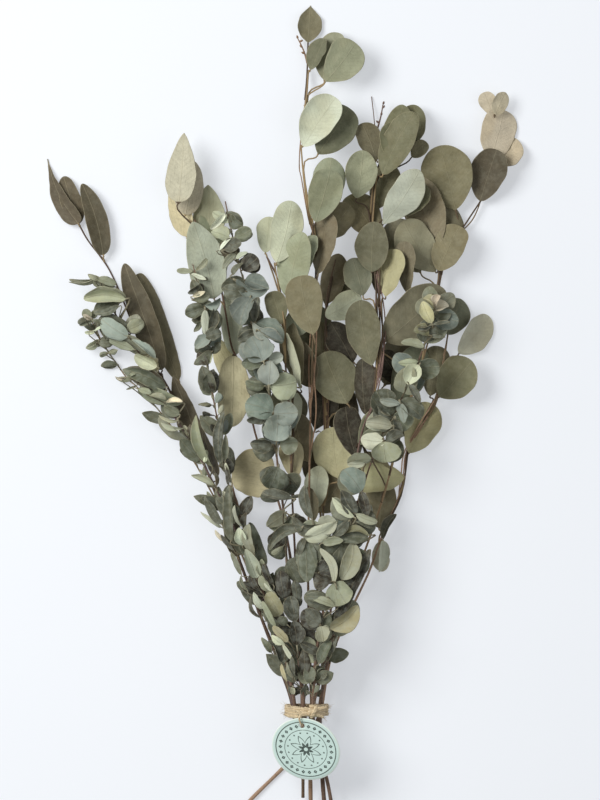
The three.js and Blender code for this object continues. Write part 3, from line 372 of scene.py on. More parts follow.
def halved(quads):
    """The two triangles of each quad."""
    return np.vstack([quads[:, :3], quads[:, [0, 2, 3]]])


def cap_faces(pole, start, ring, turned):
    """Triangles from a pole to the closed row that starts at start."""
    col = np.arange(ring)
    after = (col + 1) % ring
    tri = np.stack([np.full(ring, pole), start + col, start + after], -1)
    return tri[:, [0, 2, 1]] if turned else tri


def leaf_frame(leaf):
    """The directions of a blade: along from base to tip at its pitch, across rolled about it, and normal."""
    along = (leaf["tip"] - leaf["base"]) * (1, 1, 0)
    along[2] = np.linalg.norm(along) * math.tan(leaf["pitch"])
    length = np.linalg.norm(along)
    along = along / length
    level = unit(flat(along[1], -along[0]))
    across = level * math.cos(leaf["roll"]) + np.cross(level, along) * math.sin(leaf["roll"])
    return along, across, np.cross(across, along), length


def half_width(leaf, form, v):
    """width / 2 times v^base (1 - v)^tip over that product's peak."""
    peak = form["base"] / (form["base"] + form["tip"])
    norm = peak ** form["base"] * (1 - peak) ** form["tip"]
    return leaf["width"] / 2 * v ** form["base"] * (1 - v) ** form["tip"] / norm


def plain_leaf(leaf, form, foot):
    """The few-sided leaf of the solids: closed rings of columns at the form's rows, a foot and a tip."""
    along, across, normal, length = leaf_frame(leaf)
    columns = form["columns"]
    u = np.array(columns + columns[::-1], float)
    side = np.array([1.0] * len(columns) + [-1.0] * len(columns))
    ring, rows = len(u), []
    stalk = leaf["base"] - foot
    bend = unit(along + stalk / max(1e-9, np.linalg.norm(stalk)))
    neck = unit(across - bend * (across @ bend))
    for v in form["rows"]:
        half = max(0 if v > 0.5 else STALK, half_width(leaf, form, v))
        high = leaf["cup"] * half * u * u + leaf["arch"] * length * 4 * v * (1 - v)
        high = high + side * (BLADE if v > 0 else 1.5 * STALK) / 2
        sides, faces_out = (across, normal) if v > 0 else (neck, np.cross(neck, bend))
        rows.append(leaf["base"] + along * length * v + np.outer(half * u, sides) + np.outer(high, faces_out))
    rows.append([foot, leaf["base"] + along * length])
    points = np.vstack(rows)
    last = len(form["rows"]) - 1
    quads, upper = grid_faces(last + 1, ring), np.tile(side > 0, last)
    over, under = quads[upper], quads[~upper]
    return points, np.vstack([over[:, [0, 2, 1]], over[:, [0, 3, 2]], under[:, [0, 3, 1]],
                              under[:, [1, 3, 2]], cap_faces(len(points) - 2, 0, ring, False),
                              cap_faces(len(points) - 1, last * ring, ring, True)])


def tube(centres, radii, sides):
    """Rings of a few points round the centres, square to the run of the line, and flat ends."""
    near = np.pad(centres, ((1, 1), (0, 0)), "edge")
    runs = np.array([unit(step) for step in near[2:] - near[:-2]])
    normals = carried(runs, flat(0, 0, 1))
    radii, across = np.reshape(radii, (-1, 1, 1)), np.cross(runs, normals)
    rounds = circles(centres, radii, round_turn(sides), normals, across)
    quads, last = grid_faces(len(centres), sides), (len(centres) - 1) * sides
    ends = [tri for k in range(1, sides - 1) for tri in ((0, k + 1, k), (last, last + k, last + k + 1))]
    return rounds.reshape(-1, 3), np.vstack([halved(quads), ends])


def curve_through(points, t):
    """Points on the smooth cubic curve through the route, for t from 0 to 1. Its slope at each point of the
    route is half the step between the two neighbours."""
    p = np.asarray(points, float)
    p = np.vstack([2 * p[0] - p[1], p, 2 * p[-1] - p[-2]])
    at = np.clip(np.asarray(t, float) * (len(p) - 3), 0, len(p) - 3)
    k = np.minimum(at.astype(int), len(p) - 4)
    w = (at - k)[:, None]
    a, b, c, d = p[k], p[k + 1], p[k + 2], p[k + 3]
    return 0.5 * (2 * b + (c - a) * w + (2 * a - 5 * b + 4 * c - d) * w ** 2
                  + (3 * b - a - 3 * c + d) * w ** 3)


def rings(spray):
    """The centres of a stem's rings, the distance along it, and its radius there."""
    route = [flat(*p) for p in spray["stem"]]
    spans, t = len(route) - 1, []
    for k in range(spans):
        steps = max(1, math.floor(np.linalg.norm(route[k + 1] - route[k]) / RING_STEP + 0.5))
        t += [(k + i / steps) / spans for i in range(steps)]
    centres = curve_through(route, t + [1.0])
    reach = running(centres)
    thick, thin = spray["radius"]
    return dict(centres=centres, reach=reach, radii=thick + (thin - thick) * (reach / reach[-1]) ** 0.5)


def place(stem, s):
    """The place at a distance along a stem: the ring before it, the share to the next, and the point."""
    reach = stem["reach"]
    k = min(int(np.searchsorted(reach[1:], s)), len(reach) - 2)
    share = min(1, max(0, (s - reach[k]) / (reach[k + 1] - reach[k])))
    before, after = stem["centres"][k:k + 2]
    return dict(k=k, share=share, s=s, point=before * (1 - share) + after * share)


def foothold(stem, target):
    """Where a stalk leaves the stem: set back towards the tie from the nearest place."""
    best, s = math.inf, 0
    for k in range(len(stem["reach"]) - 1):
        run = stem["centres"][k + 1] - stem["centres"][k]
        share = min(1, max(0, (target - stem["centres"][k]) @ run / (run @ run)))
        far = np.linalg.norm(stem["centres"][k] + run * share - target)
        if far < best - 1e-9:
            best, s = far, stem["reach"][k] + share * np.linalg.norm(run)
    return place(stem, max(0, s - SET_BACK * best))


def freedom(y):
    """How freely a leaf stands at a height along the bunch, from pressed flat at the tie to 1."""
    low, high, least = PRESSED
    return min(1, max(least, (y - low) / (high - low)))


def leaf_of(row, stem, form, draw, side):
    """A leaf of the table, on the upper or the under side of its stem, with a little chance in its form."""
    x0, y0, x1, y1, width, roll, tone = row
    free, base = freedom(y0), flat(x0, y0)
    return dict(base=base, tip=flat(x1, y1), width=width, tone=tone, roll=math.radians(roll) * free,
                pitch=math.radians(side * 3 + 18 * (draw() - 0.5)) * free,
                cup=form["cup"] * (2.4 * draw() - 0.9) * free, arch=form["arch"] * (2 * draw() - 0.6) * free,
                foot=foothold(stem, base), free=free, side=side)


def paired_leaves(stem, spray, pairs, form, draw):
    """Pairs of leaves along a stem, each pair turned a quarter from the last: one spread to both sides, by
    52 degrees and more, the next close to the stem, one leaf above it and one below."""
    total, leaves = stem["reach"][-1], []
    low, high = pairs["low"], pairs["high"]
    count = max(1, math.floor((high - low) * total / pairs["spacing"] + 0.5))
    for i in range(count + 1):
        foot = place(stem, total * (low + (high - low) * i / count))
        run = stem["centres"][foot["k"] + 1] - stem["centres"][foot["k"]]
        heading, spread, free = math.atan2(run[1], run[0]), i % 2 == 0, freedom(foot["point"][1])
        for side in (-1, 1):
            size = 0.8 + 0.4 * draw()
            opened = (52 if spread else 8) + (26 if spread else 20) * draw()
            turn = heading + side * math.radians(opened * (0.55 if pairs.get("narrow") else 1))
            away = flat(math.cos(turn), math.sin(turn))
            leaves.append(dict(
                base=foot["point"] + away * (stem["radii"][foot["k"]] + STALK),
                tip=foot["point"] + away * pairs["long"] * size, width=pairs["wide"] * size,
                roll=math.radians(36 * (draw() - 0.5)) * free,
                pitch=math.radians(8 * (draw() - 0.5) if spread else side * (20 + 12 * draw())) * free,
                cup=form["cup"] * (1.6 * draw() - 0.3) * free, arch=form["arch"] * (2 * draw() - 0.8) * free,
                foot=foot, free=free, tone=spray["tones"][len(leaves) % len(spray["tones"])]))
    return leaves


def grow(spray, stem, draw):
    """The leaves of a spray. Those of the table are set in layers away from the stem, over and under it."""
    form = FORMS[spray["form"]]
    over = [leaf_of(row, stem, form, draw, 1) for row in spray.get("before", ())]
    under = [leaf_of(row, stem, form, draw, -1) for row in spray.get("behind", ())]
    bark = samples(tube(stem["centres"], stem["radii"], STEM_SIDES))
    for leaves, side in ((over, 1), (under, -1)):
        local = height_field(-math.inf)
        stamp(bark, local, side)
        for leaf in leaves:
            found = samples(plain_leaf(leaf, form, leaf["base"]))
            offset = side * min(form["off"], max(0, rise(found, local, side)))
            leaf["base"][2] += offset
            stamp(found, local, side, offset)
    for pairs in spray.get("pairs", ()):
        under = under + paired_leaves(stem, spray, pairs, form, draw)
    return over + under


def lay(spray, field, seed):
    """Lays a spray on the field. Each ring of the stem gets a lift: the most that any stretch of stem, leaf
    or twig needs, less what the stem falls on its way from there."""
    stem = rings(spray)
    leaves = grow(spray, stem, chance(seed))
    form = FORMS[spray["form"]]
    pieces = [(leaf["foot"], samples(plain_leaf(leaf, form, leaf["foot"]["point"]))) for leaf in leaves]
    twigs = []
    for x0, y0, x1, y1 in spray.get("twigs", ()):
        foot = foothold(stem, flat(x0, y0))
        twigs.append(dict(foot=foot, tip=flat(x1, y1, 2)))
        pieces.append((foot, samples(tube(np.array([foot["point"], twigs[-1]["tip"]]), (0.8, 0.5), 3))))
    needs = np.full(len(stem["reach"]), -np.inf)
    for k in range(len(needs) - 1):
        stretch = tube(stem["centres"][k:k + 2], stem["radii"][k:k + 2], STEM_SIDES)
        needs[k:k + 2] = np.maximum(needs[k:k + 2], rise(samples(stretch), field))
    for foot, found in pieces:
        needs[foot["k"]:foot["k"] + 2] = np.maximum(needs[foot["k"]:foot["k"] + 2], rise(found, field))
    apart = stem["reach"][:, None] - stem["reach"][None, :]
    lifts = (needs[None, :] - SLOPE * (np.hypot(apart, EASE) - EASE)).max(1)
    stem["centres"] = stem["centres"] + np.outer(lifts, flat(0, 0, 1))
    stamp(samples(tube(stem["centres"], stem["radii"], STEM_SIDES)), field)
    for foot, found in pieces:
        lift = lifts[foot["k"]] + (lifts[foot["k"] + 1] - lifts[foot["k"]]) * foot["share"]
        stamp(found, field, 1, lift)
        foot["lift"] = lift
    return dict(spray=spray, form=form, stem=stem, leaves=leaves, twigs=twigs)


# Surfaces: no point of a piece comes nearer to the board than this
BOARD_GAP = 0.02


class Surface:
    """Points in millimetres, quads, triangles, a material index for each face, and values at each point:
    place (across, along, chance), size (to the rim, share of the length, under side) and tone (a colour)."""

    def __init__(self):
        self.points, self.quads, self.tris = [], [], []
        self.quad_slots, self.tri_slots, self.place, self.size, self.tone = [], [], [], [], []
        self.total = 0

    def add(self, points, quads, tris, slot, tone, place, size=None):
        """Adds a closed shape, none of whose points lies lower than the board's gap."""
        n = len(points)
        points[:, 2] = np.maximum(points[:, 2], BOARD_GAP)
        self.points.append(points)
        self.quads.append(quads + self.total)
        self.tris.append(tris + self.total)
        self.quad_slots.append(np.full(len(quads), slot))
        self.tri_slots.append(np.full(len(tris), slot))
        self.place.append(place)
        self.size.append(np.zeros((n, 3)) if size is None else size)
        self.tone.append(np.broadcast_to(np.asarray(tone, float), (n, 3)))
        self.total += n

    def build(self, name, materials):
        """One mesh object of all that was added, smooth, in metres, with its values as point attributes."""
        points = np.vstack(self.points)
        quads, tris = np.vstack(self.quads), np.vstack(self.tris)
        mesh = bpy.data.meshes.new(name)
        mesh.vertices.add(len(points))
        mesh.vertices.foreach_set("co", (points / 1000).ravel())
        mesh.loops.add(4 * len(quads) + 3 * len(tris))
        mesh.loops.foreach_set("vertex_index", np.concatenate([quads.ravel(), tris.ravel()]))
        mesh.polygons.add(len(quads) + len(tris))
        starts = np.concatenate([4 * np.arange(len(quads)), 4 * len(quads) + 3 * np.arange(len(tris))])
        mesh.polygons.foreach_set("loop_start", starts)
        slots = np.concatenate(self.quad_slots + self.tri_slots)
        mesh.polygons.foreach_set("material_index", slots)
        mesh.polygons.foreach_set("use_smooth", np.ones(len(starts), bool))
        for label, values in (("place", self.place), ("size", self.size), ("tone", self.tone)):
            stored = mesh.attributes.new(label, "FLOAT_VECTOR", "POINT")
            stored.data.foreach_set("vector", np.vstack(values).astype(np.float32).ravel())
        mesh.update(calc_edges=True)
        mesh.validate()
        for shade in materials:
            mesh.materials.append(shade)
        obj = bpy.data.objects.new(name, mesh)
        bpy.context.collection.objects.link(obj)
        return obj


# A run as steep as this starts from another normal, and the poles stand off by this share of the radius
STEEP = 0.95
POLE = 0.35


def sweep(surface, centres, radii, sides, tone, slot=0, lobes=0, twist=0.0, depth=0.16):
    """A tube along the centres with rings square to the run, closed to a pole at both ends. With lobes the
    radius is multiplied by 1 + depth cos(lobes (turn - twist distance))."""
    n, turn, reach = len(centres), round_turn(sides), running(centres)
    run = unit_rows(np.gradient(centres, axis=0))
    normals = carried(run, flat(1, 0.3) if abs(run[0][2]) > STEEP else flat(0, 0, 1))
    swell = 1 + (depth if lobes else 0) * np.cos(lobes * (turn - twist * reach[:, None]))
    section = (np.asarray(radii)[:, None] * swell)[..., None]
    points = circles(centres, section, turn, normals, np.cross(run, normals))
    points = np.vstack([points.reshape(-1, 3), centres[0] - run[0] * radii[0] * POLE,
                        centres[-1] + run[-1] * radii[-1] * POLE])
    tris = np.vstack([cap_faces(n * sides, 0, sides, True),
                      cap_faces(n * sides + 1, (n - 1) * sides, sides, False)])
    place = np.zeros((n, sides, 3))
    place[..., 0] = turn / (2 * np.pi)
    place[..., 1] = reach[:, None]
    place = np.vstack([place.reshape(-1, 3), [[0, 0, 0], [0, reach[-1], 0]]])
    surface.add(points, grid_faces(n, sides), tris, slot, tone, place)


# A leaf narrower than SMALL has fewer rows. STALK_RINGS is for small and large leaves, BLADE_ENDS where the
# blade's first and last row lie, RIPPLES how deep and how often the outline ripples, GROOVE the midrib's
# groove as shares of the width, DIMPLE the waves of the face, and STALK_RADIUS runs from stem to blade.
SMALL = 9
STALK_RINGS = 7, 13
STALK_SPAN = 12
STALK_RADIUS = (0, 0.2, 1), (0.85, 0.58, 0.48)
BLADE_THICK = 0.5
BLADE_ENDS = 0.05, 0.98
RIPPLES = (0.04, (0.6, 1.6)), (0.016, (2.4, 3.6))
GROOVE_DEEP, GROOVE_WIDE = 0.018, 0.07
DIMPLE = 0.011
LOWEST = 0.15


def stalk_line(leaf, start, along, t):
    """The middle of a stalk: out of the stem some way back, beside it for a while, then to the blade."""
    at, s, base = leaf["stem_at"], leaf["foot"]["s"], leaf["base"]
    gap = np.linalg.norm(base - at(s))
    back = min(leaf["back"], 0.9 * s)
    aside = unit(base - at(s) + flat(0, 0, 0.01))
    spread = leaf.get("spread", 1.6)
    route = [at(s - back), at(s - 0.55 * back) + aside * min(spread, 0.25 * gap + 0.9),
             at(s) + aside * min(1.4 * spread + 0.8, 0.4 * gap),
             base - along * 0.2 * gap, start]
    return curve_through(route, t)


def fine_leaf(surface, leaf, form, rng, tone):
    """A leaf with a round stalk that flattens into the blade. The outline ripples, each side on its own, the
    blade folds a little along its middle and twists, and its rim waves and curls away from the stem."""
    along, across, normal, length = leaf_frame(leaf)
    base, width, free, side_of = leaf["base"], leaf["width"], leaf["free"], leaf.get("side", 0)
    small = width < SMALL
    half, fine = form["half"] - 3 * small, form["fine"] - 6 * small
    ring, bends = 2 * half, STALK_RINGS[not small]
    slim, crisp, droop = (leaf.get(key, plain) for key, plain in (("slim", 1), ("crisp", 1), ("droop", 0)))
    own = dict(base=form["base"] * rng.uniform(0.85, 1.2) * leaf.get("low", 0.5 + 0.5 * slim),
               tip=form["tip"] * rng.uniform(0.6 if small else 0.85, 1.3) * slim)
    v = 0.5 - 0.5 * np.cos(np.pi * np.linspace(*BLADE_ENDS, fine))[:, None]
    broad, mid = half_width(leaf, own, v), np.sin(np.pi * v)
    theta = round_turn(ring)
    u = np.cos(theta) * np.ones((fine, 1))
    out, ripple = np.abs(u), np.ones((fine, ring))
    for side, share in zip((-1, 1), leaf.get("halves", (1, 1))):
        rough = 1.6 if "halves" in leaf else 1
        bumps = share - 1
        for deep, beats in RIPPLES:
            bumps = bumps + deep * rough * np.sin(2 * np.pi * (rng.uniform(*beats) * v + rng.random()))
        ripple += np.where(u * side > 0, out, 0) * bumps
    reach = np.maximum(0.5, broad * ripple)
    wave = form["wave"] * width * rng.uniform(0.3, 1.2) * free
    beats, phase = rng.uniform(1.0, 2.4), 2 * np.pi * rng.random(2)
    beat = np.pi * beats * v
    edge = np.where(u > 0, np.sin(2 * beat + phase[0]), np.sin(2.3 * beat + phase[1]))
    curl = rng.uniform(-0.05, 0.3, 2) * (side_of or rng.choice([-1, 1])) * free * crisp
    twist = rng.uniform(-0.3, 0.3) * free * crisp
    high = leaf["cup"] * broad * out ** 1.4 + leaf["arch"] * length * 4 * v * (1 - v)
    high = high + wave * out ** 2.4 * edge * mid ** 0.5 + twist * u * broad * (v - 0.35)
    high = high + np.where(u > 0, *curl) * broad * out ** 4 * mid ** 0.7
    high = high - GROOVE_DEEP * width * np.exp(-(u * broad / (GROOVE_WIDE * width)) ** 2) * mid
    high = high + side_of * droop * length * v ** 2.5
    for _ in range(3):
        heading, beat = rng.uniform(0, math.pi), 2 * np.pi / (width * rng.uniform(0.32, 0.7))
        way = math.cos(heading) * u * broad + math.sin(heading) * length * v
        high = high + DIMPLE * width * free * np.sin(beat * way + rng.uniform(0, 2 * np.pi)) * mid ** 0.5
    bow = (rng.uniform(-0.04, 0.04) + leaf.get("bow", 0)) * length * mid
    high = high + np.sin(theta) * BLADE_THICK / 2 * (1 - 0.4 * out ** 3)
    blade = base + (length * v)[..., None] * along
    blade = blade + (reach * u + bow)[..., None] * across + high[..., None] * normal
    start = base + along * length * v[0] * 0.4
    t = np.linspace(0.0, 1.0, bends + 1)[:-1]
    line = stalk_line(leaf, start, along, t)
    run = unit_rows(np.gradient(np.vstack([line, start]), axis=0)[:-1])
    sides = across - run * (run @ across)[:, None]
    sides /= np.maximum(1e-6, np.linalg.norm(sides, axis=1))[:, None]
    radius = np.interp(t, *STALK_RADIUS)[:, None, None] * (0.8 if small else 1.15)
    stalk = circles(line, radius, theta, sides, np.cross(sides, run))
    tip = base + along * length + normal * side_of * droop * length
    points = np.vstack([stalk.reshape(-1, 3), blade.reshape(-1, 3), line[0] - run[0] * 0.3, tip])
    rows = bends + fine
    tris = np.vstack([cap_faces(rows * ring, 0, ring, False),
                      cap_faces(rows * ring + 1, (rows - 1) * ring, ring, True)])
    place, size, luck = np.zeros((rows, ring, 3)), np.zeros((rows, ring, 3)), rng.random()
    place[:bends, :, 1] = ((t - 1) * STALK_SPAN)[:, None]
    place[bends:, :, 0] = reach * u
    place[bends:, :, 1] = length * v
    place[..., 2] = luck
    size[bends:, :, 0] = reach * (1 - out)
    size[bends:, :, 1] = v
    size[:bends, :, 1] = -1
    size[..., 2] = np.sin(theta) < -0.01
    place = np.vstack([place.reshape(-1, 3), [[0, -STALK_SPAN, luck], [0, length, luck]]])
    size = np.vstack([size.reshape(-1, 3), [[0, -1, 0], [0, 1, 0]]])
    body = points[:-2].reshape(rows, ring, 3)
    body[..., 2] += np.maximum(0, LOWEST - body[..., 2].min(1))[:, None]
    points[-2:, 2] = np.maximum(points[-2:, 2], LOWEST)
    surface.add(points, grid_faces(rows, ring)[:, ::-1], tris, 0, tone, place, size)


# Pieces of a spray: rings of a stem lie STEM_STEP apart. Added leaves leave their stem above ABOVE_TIE.
STEM_STEP = 3.0
STEM_ROUND = 12
TWIG_SIDES = 7
TWIG_RADIUS = (0, 1), (0.8, 0.45)
BUDS_AT = 3, 5, 7, 8
ABOVE_TIE = 17
# A nesting leaf sinks to the height that RESTING of its samples need, and NESTING of the rest stays
RESTING = 0.8
NESTING = 0.18
# How much and how far a stem swells where a stalk leaves it, and its share of the solid's radius by height
KNOT_SWELL, KNOT_LONG = 0.3, 2.2
THINNER = (0, 60, 140, 330, 420), (1, 0.85, 0.74, 0.66, 0.58)

# How the pile sinks above the tie: from this height on, by this share of the square of what lies over it,
# fading in between two rows
SINKING = dict(height=35, share=0.0059, rows=(20, 60))
SLENDER = ("silver_dollar_right_low", "silver_dollar_right", "silver_dollar_centre",
           "silver_dollar_mid_right", "silver_dollar_tall")
EDGES = dict(y=(10, 23, 32, 42, 51, 60, 69, 78, 88, 97, 106, 115, 124, 134, 143, 152, 170, 189, 207, 240),
             left=(-12, -16, -20, -25, -32, -35, -34, -36, -42, -45, -50, -55, -61, -65, -70, -74, -83, -90,
                   -96, -116),
             right=(8, 9, 14, 15, 18, 22, 32, 35, 37, 41, 46, 55, 61, 61, 62, 63, 66, 74, 80, 90))

# Outlines of large leaves that are no plain ovals, by their tips: share of the width, how pointed the base
# and the tip are, the sideways bow as a share of the length, and how much the blade curls.
TRIM = {
    (-99, 463): (0.92, 0.62, 0.9, -0.02, 0.3), (-91, 441): (1.05, 0.8, 0.8, 0, 0.1),
    (-209, 443): (0.86, 0.8, 1.5, -0.04, 0.6), (-181, 423): (0.72, 0.7, 0.6, 0.05, 1.2),
    (-196, 429): (0.85, 0.8, 0.7, 0, 0.5), (-147, 359): (0.78, 0.8, 0.6, -0.02, 1.2),
    (-136, 351): (0.7, 0.9, 0.5, -0.02, 0.8),
    (-92, 392): (0.95, 0.8, 0.8, 0, 0.4), (-108, 421): (1.1, 0.8, 0.7, 0, 0.3), (-84, 227): (1, 1, 1.2, 0, 1),
    (2, 566): (1.05, 1.6, 2.1, 0, 0.8), (70, 370): (1.5, 1, 1, 0, 1), (-62, 228): (1, 0.8, 0.55, 0, 0.6),
    (171, 455): (1.3, 0.9, 0.8, 0, 0.3), (157, 482): (1.08, 0.8, 0.8, 0, 0.3),
    (151, 450): (0.86, 0.8, 0.7, 0.03, 1), (13, 539): (1.15, 0.9, 0.9, 0, 1),
    (89, 433): (1, 1.1, 1, 0, 1), (80, 479): (1, 1.2, 1, 0, 1), (-61, 192): (1, 0.8, 0.5, 0, 0.5),
    (38, 189): (1.05, 0.8, 0.6, 0, 0.6), (-6, 348): (1, 1, 0.8, 0, 0.6), (99, 247): (1, 1, 1.1, 0, 0.6),
}
# How much each direction counts when the nearest stem is looked for
HEIGHT_COUNTS = 1, 1, 0.6
# Large leaves, by their tips, that lie above all others
FRONT = ((-6, 348), (-99, 463))
# Long leaf stalks that run beside a stem: from and to along the bunch, and how many
BESIDE = dict(silver_dollar_mid_right=(225, 350, 4), silver_dollar_tall=(205, 345, 3),
              silver_dollar_centre=(200, 340, 2), silver_dollar_right_low=(150, 260, 2),
              silver_dollar_right=(320, 400, 1))
# Leaves low down that show through the gaps of the bunch, as the leaf rows of the sprays
BACKING = [(30, 222, 24, 264, 30, 0, "x"), (62, 262, 77, 302, 27, 0, "u"), (8, 284, 3, 326, 27, 0, "q"),
           (57, 334, 65, 380, 24, 0, "x"), (16, 216, 2, 184, 24, 0, "x"), (46, 208, 60, 176, 24, 0, "d"),
           (-22, 262, -6, 232, 24, 0, "q"), (22, 350, 36, 322, 22, 0, "q"), (66, 250, 84, 222, 24, 0, "q")]
# From this height up the pairs on a stem are thinner and paler
THIN_END = dict(baby_blue_curled=338)

# Small leaves in tufts along the stems, more than the solids carry: from and to along the bunch, the step
# between pairs, how long and wide a leaf is, its slimness, and its tones.
TUFTS = dict(
    small_leaf_sprig=[(14, 95, 13, 12, 6, 1.4, "gshy"), (150, 215, 16, 12, 5, 1.4, "gsxy")],
    baby_blue_left=[(14, 100, 14, 14, 7, 1.3, "ghsxp"), (165, 225, 17, 13, 6, 1.3, "gxp")],
    long_leaf_dark=[(18, 80, 18, 15, 7, 1.3, "hgx")],
    baby_blue_curled=[(14, 60, 14, 13, 7, 1.3, "ghp"), (225, 300, 10, 12, 8, 1.1, "gbse")],
    silver_dollar_pale=[(18, 60, 20, 14, 8, 1.2, "he")],
    baby_blue_front=[(14, 60, 15, 14, 8, 1.3, "hgx")],
    baby_blue_low=[(14, 50, 14, 13, 7, 1.3, "hge")],
    baby_blue_low_right=[(14, 60, 15, 13, 7, 1.3, "heg")],
    baby_blue_right=[(14, 60, 15, 13, 7, 1.3, "hgx")],
    silver_dollar_right_low=[(20, 60, 16, 12, 7, 1.3, "he")],
)
# Ranges that the form of an added leaf is drawn from: roll and pitch in degrees, cup, which is turned up or
# down in a tuft, arch, droop, and the width of each half; and how much a leaf curls
LOOSE_CHANCE = dict(roll=(-10, 10), pitch=(-4, 6), cup=(0, 0.3), turned=False, arch=(-0.06, 0.2),
                    droop=(-0.06, 0.12), halves=(0.72, 1.12), crisp=3.0)
TUFT_CHANCE = dict(roll=(-65, 65), pitch=(-22, 38), cup=(0.15, 0.75), turned=True, arch=(-0.12, 0.22),
                   droop=(-0.12, 0.25), halves=(0.6, 1.1), crisp=2.2)
# Tufts near the tie are smaller
TUFT_GROWTH = (10, 60), (0.72, 1)

